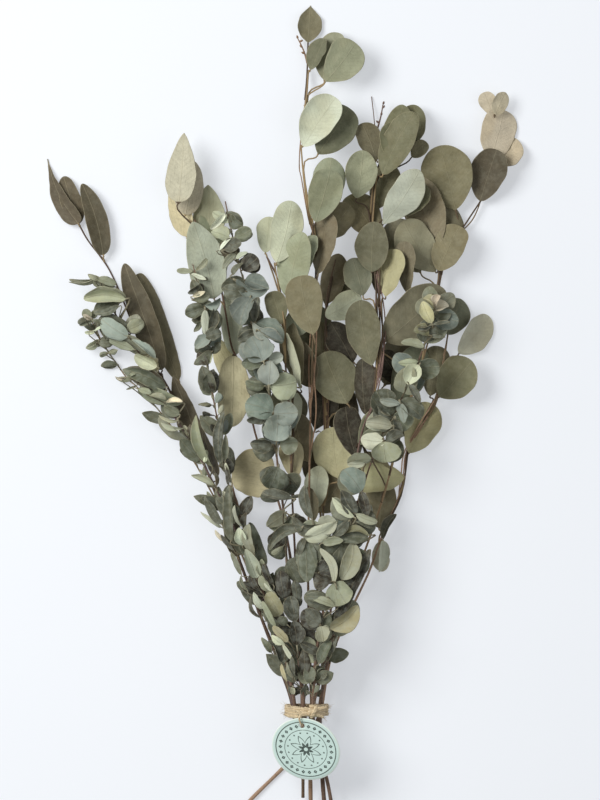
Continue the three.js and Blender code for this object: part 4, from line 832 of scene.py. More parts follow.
# Leaves that show one by one, back to front: base x, base y, tip x, tip y, width, roll, cup, slimness, tone
# and, where there is one, the sideways bow as a share of the length. Each is laid on what lies there already.
LOOSE = [
    (-35, 117, -46, 152, 13, -18, 0.3, 1.2, "g", -0.06), (22, 72, 50, 131, 13, 20, 0.3, 1.3, "e"),
    (36, 158, 26, 178, 14, -10, 0.2, 1.1, "h"), (47, 158, 42, 177, 9, 10, 0.2, 1.2, "e"),
    (3, 156, -3, 182, 11, 20, 0.2, 1.2, "h", -0.06), (60, 138, 71, 158, 8, 20, 0.3, 1.4, "h"),
    (-13, 157, -31, 148, 10, 25, 0.3, 1.3, "g", -0.12), (-13, 157, 11, 149, 10, -20, 0.3, 1.3, "h", 0.12),
    (-5, 148, -31, 131, 11, -20, 0.35, 1.2, "h", 0.12), (-20, 133, -29, 127, 6, 0, 0.2, 1, "s"),
    (-2, 139, -1, 105, 16, 8, -0.15, 1.15, "g"), (32, 153, 19, 141, 9, 10, 0.2, 1.2, "h"),
    (48, 142, 26, 143, 9, -30, 0.25, 1.2, "o", 0.12), (-3, 140, 24, 154, 15, -18, 0.25, 1.6, "p"),
    (12, 136, 28, 138, 8, 10, 0.2, 1.3, "s"), (18, 106, 4, 112, 14, 25, 0.2, 1.1, "e"),
    (21, 105, 10, 132, 9, 25, 0.35, 1.3, "p", 0.1), (27, 107, 36, 137, 16, 12, 0.2, 1.1, "s", 0.05),
    (-3, 140, -8, 127, 7, 0, 0.2, 1.2, "h"), (21, 105, 30, 88, 21, -8, 0.15, 0.9, "s"),
    (14, 93, -3, 94, 11, 15, 0.25, 1.7, "g"), (21, 86, 3, 92, 8, -10, 0.2, 1.3, "s"),
    (9, 71, -3, 83, 15, 10, 0.15, 1, "h"), (18, 68, 39, 87, 17, -15, 0.25, 1.1, "y"),
    (10, 70, 12, 58, 14, 0, 0.2, 1.1, "s"), (36, 157, 19, 172, 9, 20, 0.3, 1.8, "p"),
    (38, 159, 55, 153, 7, -15, 0.2, 1.3, "s"), (60, 137, 56, 112, 10, 25, 0.2, 1.2, "w"),
    (-2, 30, -3, 52, 9, 10, 0.2, 1.2, "e"), (8, 49, -6, 57, 9, 10, 0.2, 1.2, "h"),
    (9, 41, 18, 59, 9, 20, 0.3, 1.4, "g"), (2, 25, 0, 38, 10, 0, 0.2, 1.1, "g"),
    (10, 28, 15, 33, 4, 0, 0.2, 1.3, "g"), (19, 49, 24, 62, 5, 20, 0.3, 1.5, "h"),
    (-10, 74, -14, 94, 14, 10, 0.15, 1, "h"), (-18, 92, -22, 114, 14, 10, 0.15, 0.9, "e"),
    (-9, 55, -12, 74, 14, -10, 0.15, 1, "e"), (-8, 84, -10, 106, 8, 15, 0.2, 1.2, "h"),
    (-17, 71, -24, 76, 8, 0, 0.2, 1, "g"), (-77, 197, -88, 238, 9, 20, 0.35, 1.3, "s"),
    (-70, 199, -67, 241, 9, 20, 0.3, 1.2, "h"), (-66, 202, -66, 222, 7, -20, 0.3, 1.2, "g", -0.1),
    (-63, 182, -69, 199, 6, 40, 0.5, 1.5, "e", 0.1), (-61, 183, -64, 200, 5, 40, 0.5, 1.5, "p"),
    (-75, 182, -93, 190, 7, 30, 0.4, 1.4, "s", 0.1), (-61, 138, -61, 182, 11, 25, 0.35, 1.3, "g"),
    (-69, 151, -82, 173, 12, 15, 0.3, 1.1, "g"), (-69, 148, -86, 160, 6, 35, 0.5, 1.4, "p", 0.1),
    (-65, 137, -74, 146, 5, 30, 0.4, 1.3, "k"), (-59, 130, -68, 143, 5, 40, 0.5, 1.5, "e"),
    (-50, 147, -49, 160, 7, 30, 0.4, 1.2, "e"), (-52, 134, -55, 148, 9, 10, 0.3, 1.2, "w"),
    (-52, 149, -58, 166, 5, 40, 0.5, 1.5, "p"), (-43, 128, -47, 151, 10, 15, 0.4, 1.1, "s"),
    (-41, 108, -50, 131, 11, -15, 0.35, 1.3, "w"), (-33, 109, -37, 123, 9, 20, 0.4, 1.1, "s"),
    (-28, 103, -34, 120, 8, 20, 0.4, 1.3, "e"), (-53, 110, -62, 128, 7, 30, 0.4, 1.4, "s"),
    (-48, 98, -53, 110, 4, 40, 0.5, 1.5, "g"), (-38, 98, -46, 111, 6, 30, 0.4, 1.4, "e"),
    (-30, 97, -38, 110, 8, 20, 0.3, 1.3, "s"), (-27, 97, -34, 108, 4, 40, 0.5, 1.6, "w"),
    (-23, 78, -32, 97, 14, 10, 0.25, 1.1, "y"), (-34, 84, -43, 97, 8, 25, 0.4, 1.4, "w"),
    (-37, 76, -45, 94, 4, 50, 0.5, 1.6, "e"), (-26, 70, -37, 89, 7, 20, 0.3, 1.4, "s"),
    (-28, 71, -36, 80, 7, -20, 0.3, 1.2, "g"), (-16, 58, -28, 70, 9, 20, 0.4, 1.3, "y"),
    (-19, 56, -29, 63, 7, 20, 0.4, 1.3, "p"), (-29, 48, -37, 60, 6, 30, 0.5, 1.2, "g", 0.15),
    (-21, 41, -28, 58, 9, -20, 0.3, 1.2, "h"), (-13, 44, -20, 56, 5, 30, 0.4, 1.6, "p"),
    (-17, 27, -21, 40, 5, 20, 0.3, 1.4, "y"), (-11, 29, -17, 41, 5, 30, 0.4, 1.5, "s"),
    (-12, 30, -13, 46, 6, 10, 0.3, 1.4, "h"), (-42, 304, -56, 297, 10, 20, 0.3, 1, "h"),
    (-44, 311, -27, 303, 9, -30, 0.5, 1.1, "c", 0.1), (-38, 304, -20, 296, 10, 25, 0.5, 1.1, "b", 0.12),
    (-37, 280, -53, 279, 12, 10, 0.2, 1, "g"), (-31, 281, -20, 285, 11, 0, 0.2, 1, "c"),
    (-36, 281, -45, 300, 28, -8, 0.18, 0.8, "c"), (-35, 261, -50, 264, 12, 15, 0.3, 1, "g"),
    (-30, 261, -9, 264, 24, -10, 0.2, 0.85, "s"), (-31, 262, -30, 281, 20, 6, 0.2, 0.85, "c"),
    (-29, 238, -49, 234, 11, 25, 0.4, 1, "h"), (-28, 240, -50, 247, 22, -12, 0.25, 0.9, "b"),
    (-27, 239, -8, 240, 21, 12, 0.3, 0.9, "b"), (-29, 214, -46, 215, 15, 15, 0.3, 0.9, "h"),
    (-22, 214, -8, 216, 14, -15, 0.3, 1, "g"), (-25, 217, -24, 238, 23, -6, 0.25, 0.85, "b"),
    (-17, 190, -7, 180, 9, 20, 0.4, 1.1, "g"), (-13, 171, -37, 175, 10, -35, 0.4, 1.1, "h", -0.08),
    (-14, 172, -5, 174, 3, 0, 0.3, 1.4, "h"), (-24, 196, -31, 179, 24, 10, 0.25, 0.8, "g"),
    (-66, 397, -78, 386, 7, 20, 0.4, 1.5, "w"), (-62, 397, -52, 388, 9, -25, 0.5, 1.1, "g", 0.1),
    (-58, 379, -45, 385, 11, 15, 0.3, 1, "g"), (-63, 379, -77, 384, 16, -10, 0.2, 1.3, "s"),
    (-66, 369, -53, 375, 11, 15, 0.3, 1, "h"), (-70, 369, -60, 379, 4, 30, 0.4, 1.5, "w"),
    (-58, 366, -68, 354, 9, 15, 0.3, 1.3, "s"), (-57, 362, -48, 367, 5, 30, 0.4, 1.4, "w"),
    (-60, 349, -51, 358, 6, 25, 0.4, 1.2, "g"), (-52, 353, -40, 363, 15, -10, 0.25, 0.9, "e"),
    (-50, 336, -67, 339, 15, 12, 0.2, 1, "g"), (-57, 345, -32, 338, 15, -20, 0.35, 1, "b", 0.16),
    (-42, 312, -38, 331, 9, 30, 0.5, 1.1, "h"), (-46, 331, -54, 309, 18, -10, 0.25, 0.9, "b"),
    (-87, 341, -96, 335, 6, 20, 0.4, 1.2, "h"), (-93, 350, -81, 346, 5, 35, 0.4, 1.4, "w"),
    (-86, 347, -80, 346, 4, 0, 0.3, 1, "h"), (-91, 330, -78, 334, 9, -20, 0.4, 1.1, "g"),
    (-92, 332, -82, 336, 5, 10, 0.3, 1.3, "k"), (-83, 323, -98, 318, 12, 15, 0.25, 0.95, "g"),
    (-82, 325, -70, 331, 8, -25, 0.4, 1.2, "b"), (-82, 321, -82, 302, 9, 10, 0.3, 1.1, "w"),
    (-78, 305, -74, 323, 9, -20, 0.3, 1.1, "h"), (-86, 312, -91, 304, 6, 15, 0.3, 1, "g"),
    (-82, 300, -69, 303, 11, 15, 0.3, 1, "h"), (-78, 300, -90, 291, 12, -15, 0.3, 0.9, "b"),
    (98, 311, 91, 328, 12, 15, 0.3, 1.2, "y"), (98, 309, 85, 309, 5, 55, 0.4, 1.2, "h"),
    (99, 309, 113, 311, 4, 50, 0.4, 1.4, "h"), (96, 301, 84, 305, 9, -20, 0.4, 1, "o"),
    (98, 300, 109, 299, 4, 40, 0.3, 1.5, "g"), (100, 321, 112, 325, 9, 35, 0.8, 0.9, "k"),
    (100, 322, 91, 330, 8, -40, 0.8, 1, "y"), (101, 323, 105, 333, 8, 30, 0.8, 0.9, "k"),
    (92, 292, 74, 295, 9, -20, 0.3, 1.3, "s"), (87, 280, 72, 279, 8, 15, 0.3, 1.2, "s"),
    (88, 277, 79, 262, 14, -15, 0.3, 1, "p"), (80, 262, 89, 247, 8, 25, 0.4, 1.2, "h"),
    (73, 248, 91, 236, 16, 10, 0.2, 1.1, "g"), (67, 236, 53, 245, 12, 20, 0.3, 1, "h"),
    (73, 247, 76, 231, 12, -15, 0.3, 1.1, "c"), (73, 247, 57, 250, 8, 15, 0.3, 1.3, "c"),
    (69, 234, 68, 216, 11, 20, 0.3, 1.1, "h"), (66, 229, 46, 232, 14, -12, 0.25, 1, "p"),
    (62, 216, 76, 222, 13, 15, 0.3, 1.2, "h"), (61, 216, 42, 219, 14, -15, 0.3, 1.1, "p"),
    (60, 216, 62, 200, 27, 10, 0.25, 0.75, "s"), (45, 199, 31, 199, 6, 20, 0.3, 1.2, "p"),
    (42, 177, 28, 194, 19, -10, 0.3, 0.85, "b"), (-146, 330, -179, 331, 11, 12, 0.25, 1.3, "s", 0.06),
    (-151, 324, -171, 319, 8, -25, 0.4, 1.3, "g", -0.1), (-144, 300, -165, 314, 16, 10, 0.25, 1.1, "b"),
    (-144, 306, -131, 312, 13, -10, 0.2, 0.9, "s"), (-139, 290, -158, 299, 8, 20, 0.4, 1.3, "s"),
    (-122, 283, -141, 297, 8, -20, 0.4, 1.3, "b"), (-121, 276, -138, 286, 11, 10, 0.2, 1.1, "p"),
    (-114, 260, -148, 274, 14, 15, 0.35, 1.3, "g", 0.06), (-103, 238, -115, 245, 9, 15, 0.3, 1.1, "g"),
    (-113, 248, -100, 248, 5, 30, 0.4, 1.4, "k"), (-104, 233, -119, 237, 4, 40, 0.4, 1.5, "s"),
    (-100, 227, -117, 232, 4, 30, 0.4, 1.5, "p"), (-168, 346, -153, 342, 7, 20, 0.4, 1.3, "s"),
    (-167, 345, -175, 349, 4, 20, 0.4, 1.2, "s"), (-170, 346, -191, 344, 3, 50, 0.4, 1.5, "s", -0.08),
    (-172, 313, -163, 310, 4, 30, 0.4, 1.3, "g"), (-172, 313, -183, 310, 4, 20, 0.4, 1.3, "g"),
    (-172, 314, -180, 318, 5, 10, 0.4, 1.2, "k"), (-171, 304, -179, 304, 3, 20, 0.4, 1.3, "p"),
    (-170, 305, -163, 308, 3, 20, 0.4, 1.3, "w"), (-168, 296, -178, 291, 4, 40, 0.4, 1.4, "s"),
    (-167, 295, -157, 294, 7, 10, 0.3, 1.1, "g"), (-160, 287, -167, 285, 3, 40, 0.4, 1.4, "g"),
    (-159, 287, -152, 289, 3, 30, 0.4, 1.3, "s"), (-153, 278, -166, 277, 5, 10, 0.3, 1.3, "g", 0.1),
    (-145, 268, -154, 268, 3, 30, 0.4, 1.4, "k"), (-143, 268, -136, 271, 3, 20, 0.4, 1.3, "s"),
    (-137, 261, -145, 258, 2.5, 40, 0.4, 1.4, "g", 0.1), (-135, 258, -125, 255, 6, 15, 0.3, 1.1, "s"),
    (-126, 253, -113, 249, 5, 30, 0.4, 1.4, "s"),
]


def settle(leaf, form, field, low=None):
    """Lays a leaf on the field and marks it there. Where the bare field is given too, the leaf nests: it
    sinks to the height that most of it needs over the bare field, and stays a small share above that."""
    found = samples(plain_leaf(leaf, form, leaf["base"]))
    lift = rise(found, field)
    stamp(found, field, 1, lift)
    if low is not None:
        rest = np.quantile(low[cells(found)] + GAP - found[:, 2], RESTING)
        lift = rest + NESTING * (lift - rest)
    leaf["base"][2] += lift
    leaf["tip"][2] += lift


def bring_front(bunch, field):
    """Lifts the leaves of the front onto what lies there already."""
    for laid in bunch:
        for leaf in laid["leaves"]:
            if tuple(leaf["tip"][:2]) in FRONT:
                settle(leaf, laid["form"], field)


def nearest(bunch, base, wanted):
    """The spray of the wanted forms whose stem runs nearest to a leaf's base."""
    return min((laid for laid in bunch if laid["spray"]["form"] in wanted), key=lambda laid: np.linalg.norm(
        (laid["stem"]["centres"] - base) * HEIGHT_COUNTS, axis=1).min())


def added_leaf(rng, given, base, tip, width, slim, roll=0, cup=0, **more):
    """A leaf that the solids don't carry, with a form drawn from the ranges that are given."""
    return dict(base=base, tip=tip, width=width, slim=slim, free=1.0, crisp=given["crisp"],
                roll=math.radians(roll + rng.uniform(*given["roll"])),
                pitch=math.radians(rng.uniform(*given["pitch"])),
                cup=cup + (rng.choice([-1, 1]) if given["turned"] else 1) * rng.uniform(*given["cup"]),
                arch=rng.uniform(*given["arch"]), side=rng.choice([-1, 1]),
                droop=rng.uniform(*given["droop"]), halves=rng.uniform(*given["halves"], 2), **more)


def lay_backing(bunch):
    """Lays the leaves low down on the board, under all others."""
    field = height_field(-GAP)
    for x0, y0, x1, y1, width, roll, tone in BACKING:
        leaf = dict(base=flat(x0, y0), tip=flat(x1, y1), width=width, free=0.6, tone=tone,
                    roll=math.radians(roll), pitch=0.0, cup=0.05, arch=0.02, side=1)
        settle(leaf, FORMS["dollar"], field)
        near = nearest(bunch, leaf["base"], ("dollar",))
        leaf["foot"] = dict(foothold(near["stem"], leaf["base"]), lift=0.0)
        near["leaves"].append(leaf)


def lay_loose(bunch, field, seed):
    """Lays the loose leaves and gives each to the spray whose stem runs nearest to its base."""
    rng = np.random.default_rng(seed)
    bare = field.copy()
    for laid in bunch:
        laid["loose"] = []
    for x0, y0, x1, y1, width, roll, cup, slim, tone, *bow in LOOSE:
        leaf = added_leaf(rng, LOOSE_CHANCE, flat(x0, y0), flat(x1, y1), width, 0.95 + 0.45 * (slim - 1),
                          roll=roll, cup=1.3 * cup, bow=1.3 * sum(bow), tone=tone)
        settle(leaf, FORMS["baby"], field, bare)
        near = nearest(bunch, leaf["base"], ("dollar", "baby"))
        foot = foothold(near["stem"], leaf["base"])
        while foot["point"][1] < ABOVE_TIE:
            foot = place(near["stem"], foot["s"] + 2)
        leaf["foot"] = foot
        near["loose"].append(leaf)


def press_down(blocks):
    """Sinks the pile above the tie, the more the higher it stands, with all leaves in their order."""
    for points in blocks:
        over = np.maximum(0.0, points[:, 2] - SINKING["height"])
        points[:, 2] -= SINKING["share"] * over ** 2 * np.interp(points[:, 1], SINKING["rows"], (0, 1))


def tufts(laid, stem_at, reach, heights, rng):
    """Pairs of small folded leaves that point up along the stem, turned in all directions round it and kept
    inside the edges of the bunch."""
    leaves = []
    for low, high, step, long, wide, slim, tones in TUFTS.get(laid["spray"]["name"], ()):
        for y in np.arange(low, high, step):
            s = np.interp(y + rng.uniform(-0.3, 0.3) * step, heights, reach)
            at = stem_at(s)
            run = unit(stem_at(s + 4) - stem_at(s - 4))
            heading = math.atan2(run[1], run[0])
            for side in (-1, 1):
                size = rng.uniform(0.7, 1.2) * np.interp(y, *TUFT_GROWTH)
                for way, most in ((side, 62), (-side, 30)):
                    turn = heading + way * math.radians(rng.uniform(4, most))
                    tip = at + flat(math.cos(turn), math.sin(turn)) * long * size
                    left, right = (np.interp(tip[1], EDGES["y"], EDGES[key]) for key in ("left", "right"))
                    if left + 1 < tip[0] < right - 1:
                        break
                away = unit(tip - at)
                base = at + away * rng.uniform(1.5, 3) + flat(0, 0, rng.uniform(-1, 2.5))
                leaf = added_leaf(rng, TUFT_CHANCE, base, tip, wide * size, 1 + 0.4 * (slim - 1))
                leaves.append(dict(leaf, foot=dict(s=s), tone=tones[rng.integers(len(tones))]))
    return leaves


def depth_of(base, tip, field):
    """How far the middle of a leaf lies under the top of the pile."""
    middle = 0.5 * (base + tip)
    return field[cells(middle[None])[0]] - middle[2]


def spray_surface(laid, seed, field):
    """All of a spray: its stem, its twigs and its leaves."""
    rng = np.random.default_rng(seed)
    spray, stem, form = laid["spray"], laid["stem"], laid["form"]
    name, surface, bark = spray["name"], Surface(), colour(BARKS.get(spray["name"], BARK))
    total, rings_at = stem["reach"][-1], np.arange(len(stem["reach"]))
    reach = np.linspace(0, total, max(6, int(total / STEM_STEP)))
    centres = curve_through(stem["centres"], np.interp(reach, stem["reach"], rings_at) / rings_at[-1])
    heights = np.maximum.accumulate(centres[:, 1])

    def stem_at(s):
        return np.array([np.interp(s, reach, centres[:, i]) for i in range(3)])
    knots = np.array([leaf["foot"]["s"] for leaf in laid["leaves"]])
    swell = 1 + KNOT_SWELL * np.exp(-((reach[:, None] - knots[None]) / KNOT_LONG) ** 2).max(1)
    wander = 1 + 0.05 * np.sin(reach * 0.21 + seed) + 0.04 * np.sin(reach * 0.083 + 2 * seed)
    slender = np.interp(centres[:, 1], *THINNER) * (0.8 if name in SLENDER else 1)
    radii = np.interp(reach, stem["reach"], stem["radii"]) * slender * swell * wander
    sweep(surface, centres, radii, STEM_ROUND, bark, 1)
    low, high, count = BESIDE.get(name, (0, 0, 0))
    for _ in range(count):
        t = np.linspace(0, 1, 15)
        way = low + rng.uniform(0, 40) + t * (high - low - 65 + rng.uniform(0, 40))
        aside = flat(rng.choice([-1, 1]) * rng.uniform(1.5, 3.6), 0, rng.uniform(0, 1.6))
        line = np.array([stem_at(s) for s in np.interp(way, heights, reach)])
        line = line + np.outer(np.sin(np.pi * t) ** 0.5 * (1 + 0.25 * np.sin(7 * t + seed)), aside)
        sweep(surface, line, np.full(15, rng.uniform(0.5, 0.75)), 6, bark * rng.uniform(0.8, 1.6), 1)
    for leaf in laid["leaves"]:
        back = rng.uniform(8, 75) * leaf["free"] if spray["form"] == "dollar" else rng.uniform(1, 3)
        wide, low, slim, bow, crisp = TRIM.get(tuple(leaf["tip"][:2]), (1, 1, 1, 0, 1))
        # Some leaves of the table have an outline of their own, and paired leaves fold and droop
        raised = dict(leaf, base=leaf["base"] + flat(0, 0, leaf["foot"]["lift"]), stem_at=stem_at,
                      back=back, spread=rng.uniform(1.5, 4), width=leaf["width"] * wide, low=low, slim=slim,
                      bow=bow, crisp=crisp)
        if leaf["base"][1] > THIN_END.get(name, math.inf):
            raised.update(width=leaf["width"] * 0.5, tone="s")
        if leaf.get("side", 0) == 0 and spray["form"] == "baby":
            raised.update(cup=raised["cup"] * 1.4 + 0.12, droop=rng.uniform(-0.05, 0.2),
                          side=rng.choice([-1, 1]), slim=np.interp(leaf["base"][1], [120, 240], [1.35, 1]))
        # How deep the leaf lies under the top of the pile, which sets its painted shade
        reach_of = leaf["tip"] - leaf["base"]
        top = raised["base"] + reach_of * (0, 0, 1)
        depth = depth_of(top, top + reach_of * (1, 1, 0), field)
        fine_leaf(surface, raised, form, rng, leaf_tone(raised, rng, depth))
    for leaf in tufts(laid, stem_at, reach, heights, rng) + laid["loose"]:
        # How deep the leaf lies under the top of the pile, which sets its painted shade
        depth = depth_of(leaf["base"], leaf["tip"], field)
        tone = leaf_tone(leaf, rng, depth)
        fine_leaf(surface, dict(leaf, stem_at=stem_at, back=2), FORMS["baby"], rng, tone)
    for twig in laid["twigs"]:
        a, b = (end + flat(0, 0, twig["foot"]["lift"]) for end in (twig["foot"]["point"], twig["tip"]))
        t = np.linspace(0, 1, 9)
        line = a + (b - a) * t[:, None] + np.outer(np.sin(np.pi * t) * 0.8, flat(1, 0.4))
        sweep(surface, line, np.interp(t, *TWIG_RADIUS), TWIG_SIDES, bark, 1)
        for k in BUDS_AT:
            bud(surface, line[k], rng, bark)
    return surface


# Length of a bud, its radius at the ends and how much thicker it is in the middle
BUD = 3.2, 0.15, 0.95


def bud(surface, at, rng, tone):
    """A small closed bud, a drop with its point away from the twig."""
    turn = rng.uniform(-1.2, 1.2)
    away = flat(math.cos(math.pi / 2 + turn), math.sin(math.pi / 2 + turn), rng.uniform(0, 0.4))
    t = np.linspace(0, 1, 6)
    long, least, more = BUD
    line = at + np.outer(t * long, unit(away))
    sweep(surface, line, least + more * np.sin(np.pi * t) ** 0.8 * (1 - 0.35 * t), TWIG_SIDES, tone, 1)


def colour(text):
    """Linear colour values of a hexadecimal colour."""
    c = np.array([int(text[i:i + 2], 16) for i in (1, 3, 5)]) / 255
    return np.where(c <= 0.04045, c / 12.92, ((c + 0.055) / 1.055) ** 2.4)


# How far tones spread, for large and for small added leaves, and the painted shade: how much darker a leaf is
# made the deeper it lies under the top of the pile
FADED = (0.84, 1.1), (0.78, 1.5)
DEPTH_PAINTED_SHADE = (4, 26), (1, 0.76)


def leaf_tone(leaf, rng, depth):
    """The tone of the table, a little lighter or darker and warmer or cooler for each leaf, and painted
    shade:
    darker for those deep in the bunch, under other leaves."""
    tone = colour(TONES[leaf["tone"]])
    faded = rng.uniform(*FADED["halves" in leaf])
    # Painted shade: the deeper a leaf lies under the top of the pile, the darker its tone
    return tone * faded * rng.uniform(0.97, 1.03, 3) * np.interp(depth, *DEPTH_PAINTED_SHADE)


# Tie and tag

def reach_across(bunch, direction):
    """How far the stems reach in a direction across the tie, as in the solids."""
    most = -math.inf
    for laid in bunch:
        centres, radii = laid["stem"]["centres"], laid["stem"]["radii"]
        for y in (TIE_LOW, (TIE_LOW + TIE_HIGH) / 2, TIE_HIGH):
            k = next(i for i in range(len(centres) - 1) if centres[i][1] <= y < centres[i + 1][1])
            share = (y - centres[k][1]) / (centres[k + 1][1] - centres[k][1])
            at = centres[k] * (1 - share) + centres[k + 1] * share
            most = max(most, at @ direction + radii[k] + GAP)
    return max([most] + [x * direction[0] + TWINE * direction[2] for x in (-FLAT_SPOT, FLAT_SPOT)])


def tie_outline(bunch, out):
    """The corners of the flat sides that touch the stems all round, moved out."""
    turns = round_turn(TIE_SIDES) - math.pi / 2
    ways = np.stack([np.cos(turns), 0 * turns, np.sin(turns)], 1)
    reach = np.array([reach_across(bunch, way) for way in ways]) + out
    corners = []
    for i in range(TIE_SIDES):
        a, b, p, q = ways[i], ways[(i + 1) % TIE_SIDES], reach[i], reach[(i + 1) % TIE_SIDES]
        cross = a[0] * b[2] - a[2] * b[0]
        corners.append([(p * b[2] - q * a[2]) / cross, 0, (q * a[0] - p * b[0]) / cross])
    return np.array(corners)


def plain_wraps(bunch):
    """The ribbed ring of the solids round the stems."""
    section = [(0, TIE_HIGH), (0, TIE_LOW), (GROOVE, TIE_LOW)]
    section += [(out, TIE_LOW + (turn + up) * TWINE) for turn in range(TURNS)
                for out, up in ((1, 0.3), (1, 0.7), (GROOVE, 1))]
    columns = [tie_outline(bunch, out * TWINE) + flat(0, y) for out, y in section]
    points = np.stack(columns, 1).reshape(-1, 3)
    quads = grid_faces(TIE_SIDES + 1, len(section)) % len(points)
    return points, halved(quads)


# Sides, plies and twist (radians a millimetre) of a strand
PLIES = dict(sides=15, lobes=3, twist=0.74)
# The strands of the knot: route, radii along it and steps of its plain solid
R = KNOT_RADIUS
STRANDS = (
    (((-8, 1, 0), (-2, 0.5, 1), (4, 2.5, 1.6), (9, 4.5, 0.8), (15, 5.5, 0)),
     (0.8 * R, R, R, 0.9 * R, 0.5 * R), 6),
    (((-3, 4.5, 0), (2, 3, 0.8), (7, 0, 1), (12, -2.5, 0)), (R, R, R, 0.5 * R), 5),
    (((2.5, -2.2, 0), (4, 0.5, 2.8), (5.5, 3, 3), (6.5, 5.8, 0.2)), (R, R, R, R), 5),
)


def radius_along(radii, n):
    """The radii spread evenly over n points of a strand."""
    return np.interp(np.linspace(0, len(radii) - 1, n), np.arange(len(radii)), radii)


def plain_strand(route, radii, steps):
    """A strand of the knot as in the solids."""
    centres = curve_through(route, np.linspace(0, 1, steps + 1))
    return tube(centres, radius_along(radii, steps + 1), 5)


def round_ways(count):
    """Level directions all round."""
    turn = round_turn(count)
    return np.stack([np.cos(turn), np.sin(turn), 0 * turn], 1)


def tag_frame():
    """The tag's directions: along its level line, up its slope, and out of its face."""
    swing, slope = math.radians(TAG["swing"]), math.radians(TAG["tilt"])
    u = flat(math.cos(swing), math.sin(swing))
    v = flat(-u[1] * math.cos(slope), u[0] * math.cos(slope), math.sin(slope))
    return np.array([u, v, np.cross(u, v)])


def twist_sweep(surface, route, radii, steps):
    """A strand of twisted jute on the curve through a route."""
    centres = curve_through(route, np.linspace(0, 1, steps + 1))
    sweep(surface, centres, radius_along(radii, steps + 1), tone=colour(JUTE), **PLIES)


def fibres(surface, rng, starts, ways, lengths, thick=0.11):
    """Loose hairs of jute: thin bent lines of a few points, in three sides."""
    for start, way, length in zip(starts, ways, lengths):
        t = np.linspace(0, 1, 6)[:, None]
        bend = unit(np.cross(way, rng.normal(size=3))) * length * rng.uniform(0.05, 0.4)
        line = start + way * length * t + bend * t * t
        line[:, 2] = np.maximum(line[:, 2], 0.2)
        sweep(surface, line, np.linspace(thick, 0.4 * thick, 6), 3, colour(JUTE))


# The wound strand: points a turn, how far its corners are rounded (in points), how much of a turn its ends
# stay apart, and how many hairs it sheds
WOUND = dict(points=190, rounding=6, apart=0.08, hairs=170)
# Where the strands fray: the end, the way its hairs point, and how many they are
FRAYS = (((15, 5.5, 0), (1, 0.25, 0.1), 26), ((12, -2.5, 0), (1, -0.5, 0.1), 14),
         ((-8, 1, 0), (-1, 0.2, 0.1), 8), ((6.5, 5.8, 0.2), (0.5, 1, 0.2), 8))


def jute_band(bunch):
    """One strand wound round the stems in turns side by side, with loose hairs."""
    rng, surface = np.random.default_rng(31), Surface()
    corners = tie_outline(bunch, TWINE / 2)
    corners = np.vstack([corners, corners[:1]])
    edge, n, hairs = running(corners), WOUND["points"], WOUND["hairs"]
    at = np.linspace(0, edge[-1], n, endpoint=False)
    loop = np.stack([np.interp(at, edge, corners[:, i]) for i in range(3)], 1)
    shifts = np.arange(-WOUND["rounding"], WOUND["rounding"] + 1)
    weights = np.exp(-(shifts * 2 / WOUND["rounding"]) ** 2)
    loop = sum(w * np.roll(loop, k, 0) for w, k in zip(weights / weights.sum(), shifts))
    s = np.arange(int((TURNS - WOUND["apart"]) * n))
    line = loop[(s + n // 2) % n]
    line[:, 1] = TIE_LOW + TWINE * (0.5 + (TURNS - 1) * s / s[-1])
    line[:, 1] += 0.25 * np.sin(s * 0.035) + 0.12 * np.sin(s * 0.11 + 1)
    radii = 0.45 * TWINE * (1 + 0.05 * np.sin(s * 0.31) + 0.04 * np.sin(s * 0.117 + 2))
    sweep(surface, line, radii, tone=colour(JUTE), depth=0.12, **PLIES)
    pick = rng.integers(5, len(line) - 5, hairs)
    out = unit_rows(line[pick] - [2, 1.5, 20])
    run = unit_rows(line[pick + 3] - line[pick - 3])
    ways = unit_rows(run * rng.choice([-1, 1], hairs)[:, None] + out * rng.uniform(0.15, 0.9, (hairs, 1))
                     + 0.35 * rng.normal(size=(hairs, 3)))
    keep = line[pick][:, 2] > TWINE
    fibres(surface, rng, (line[pick] + out * 1.1)[keep], ways[keep], rng.uniform(2.5, 7, keep.sum()))
    return surface


def jute_tie(knot_lift, card_lift):
    """The knot's strands with frayed ends, and the string through the tag."""
    rng, surface = np.random.default_rng(7), Surface()
    up = flat(0, 0, knot_lift)
    for route, radii, _ in STRANDS:
        twist_sweep(surface, np.array(route, float) + up, np.array(radii) * 0.95, 46)
    for end, way, count in FRAYS:
        starts = np.array(end) + up - unit(np.array(way, float)) * 1.5 + 0.3 * rng.normal(size=(count, 3))
        ways = unit_rows(np.array(way, float) + 0.33 * rng.normal(size=(count, 3)))
        fibres(surface, rng, starts, ways, rng.uniform(2, 6, count), 0.13)
    middle, tie = flat(TAG["x"], TAG["y"], card_lift), flat(2, 0, knot_lift + 1)
    off = STRING + TAG["thick"] / 2 + GAP
    for side, start in ((1, tie + flat(0, -0.4, 0.4)), (-1, tie)):
        past = ((9, off), (3.4, off + 0.8), (0.4, 0.4), (0.2, -1.4))
        route = [middle + np.append(TAG_HOLE + unit(TAG_HOLE) * out, side * high) @ tag_frame()
                 for out, high in past]
        twist_sweep(surface, np.array([start] + route), (STRING * 0.8, STRING * 0.72), 60)
    return surface


# Points round the card, how soft its edges are and how far it bends, in millimetres
CARD_SIDES = 220
CARD_EDGE = 0.28
CARD_BEND = 0.35


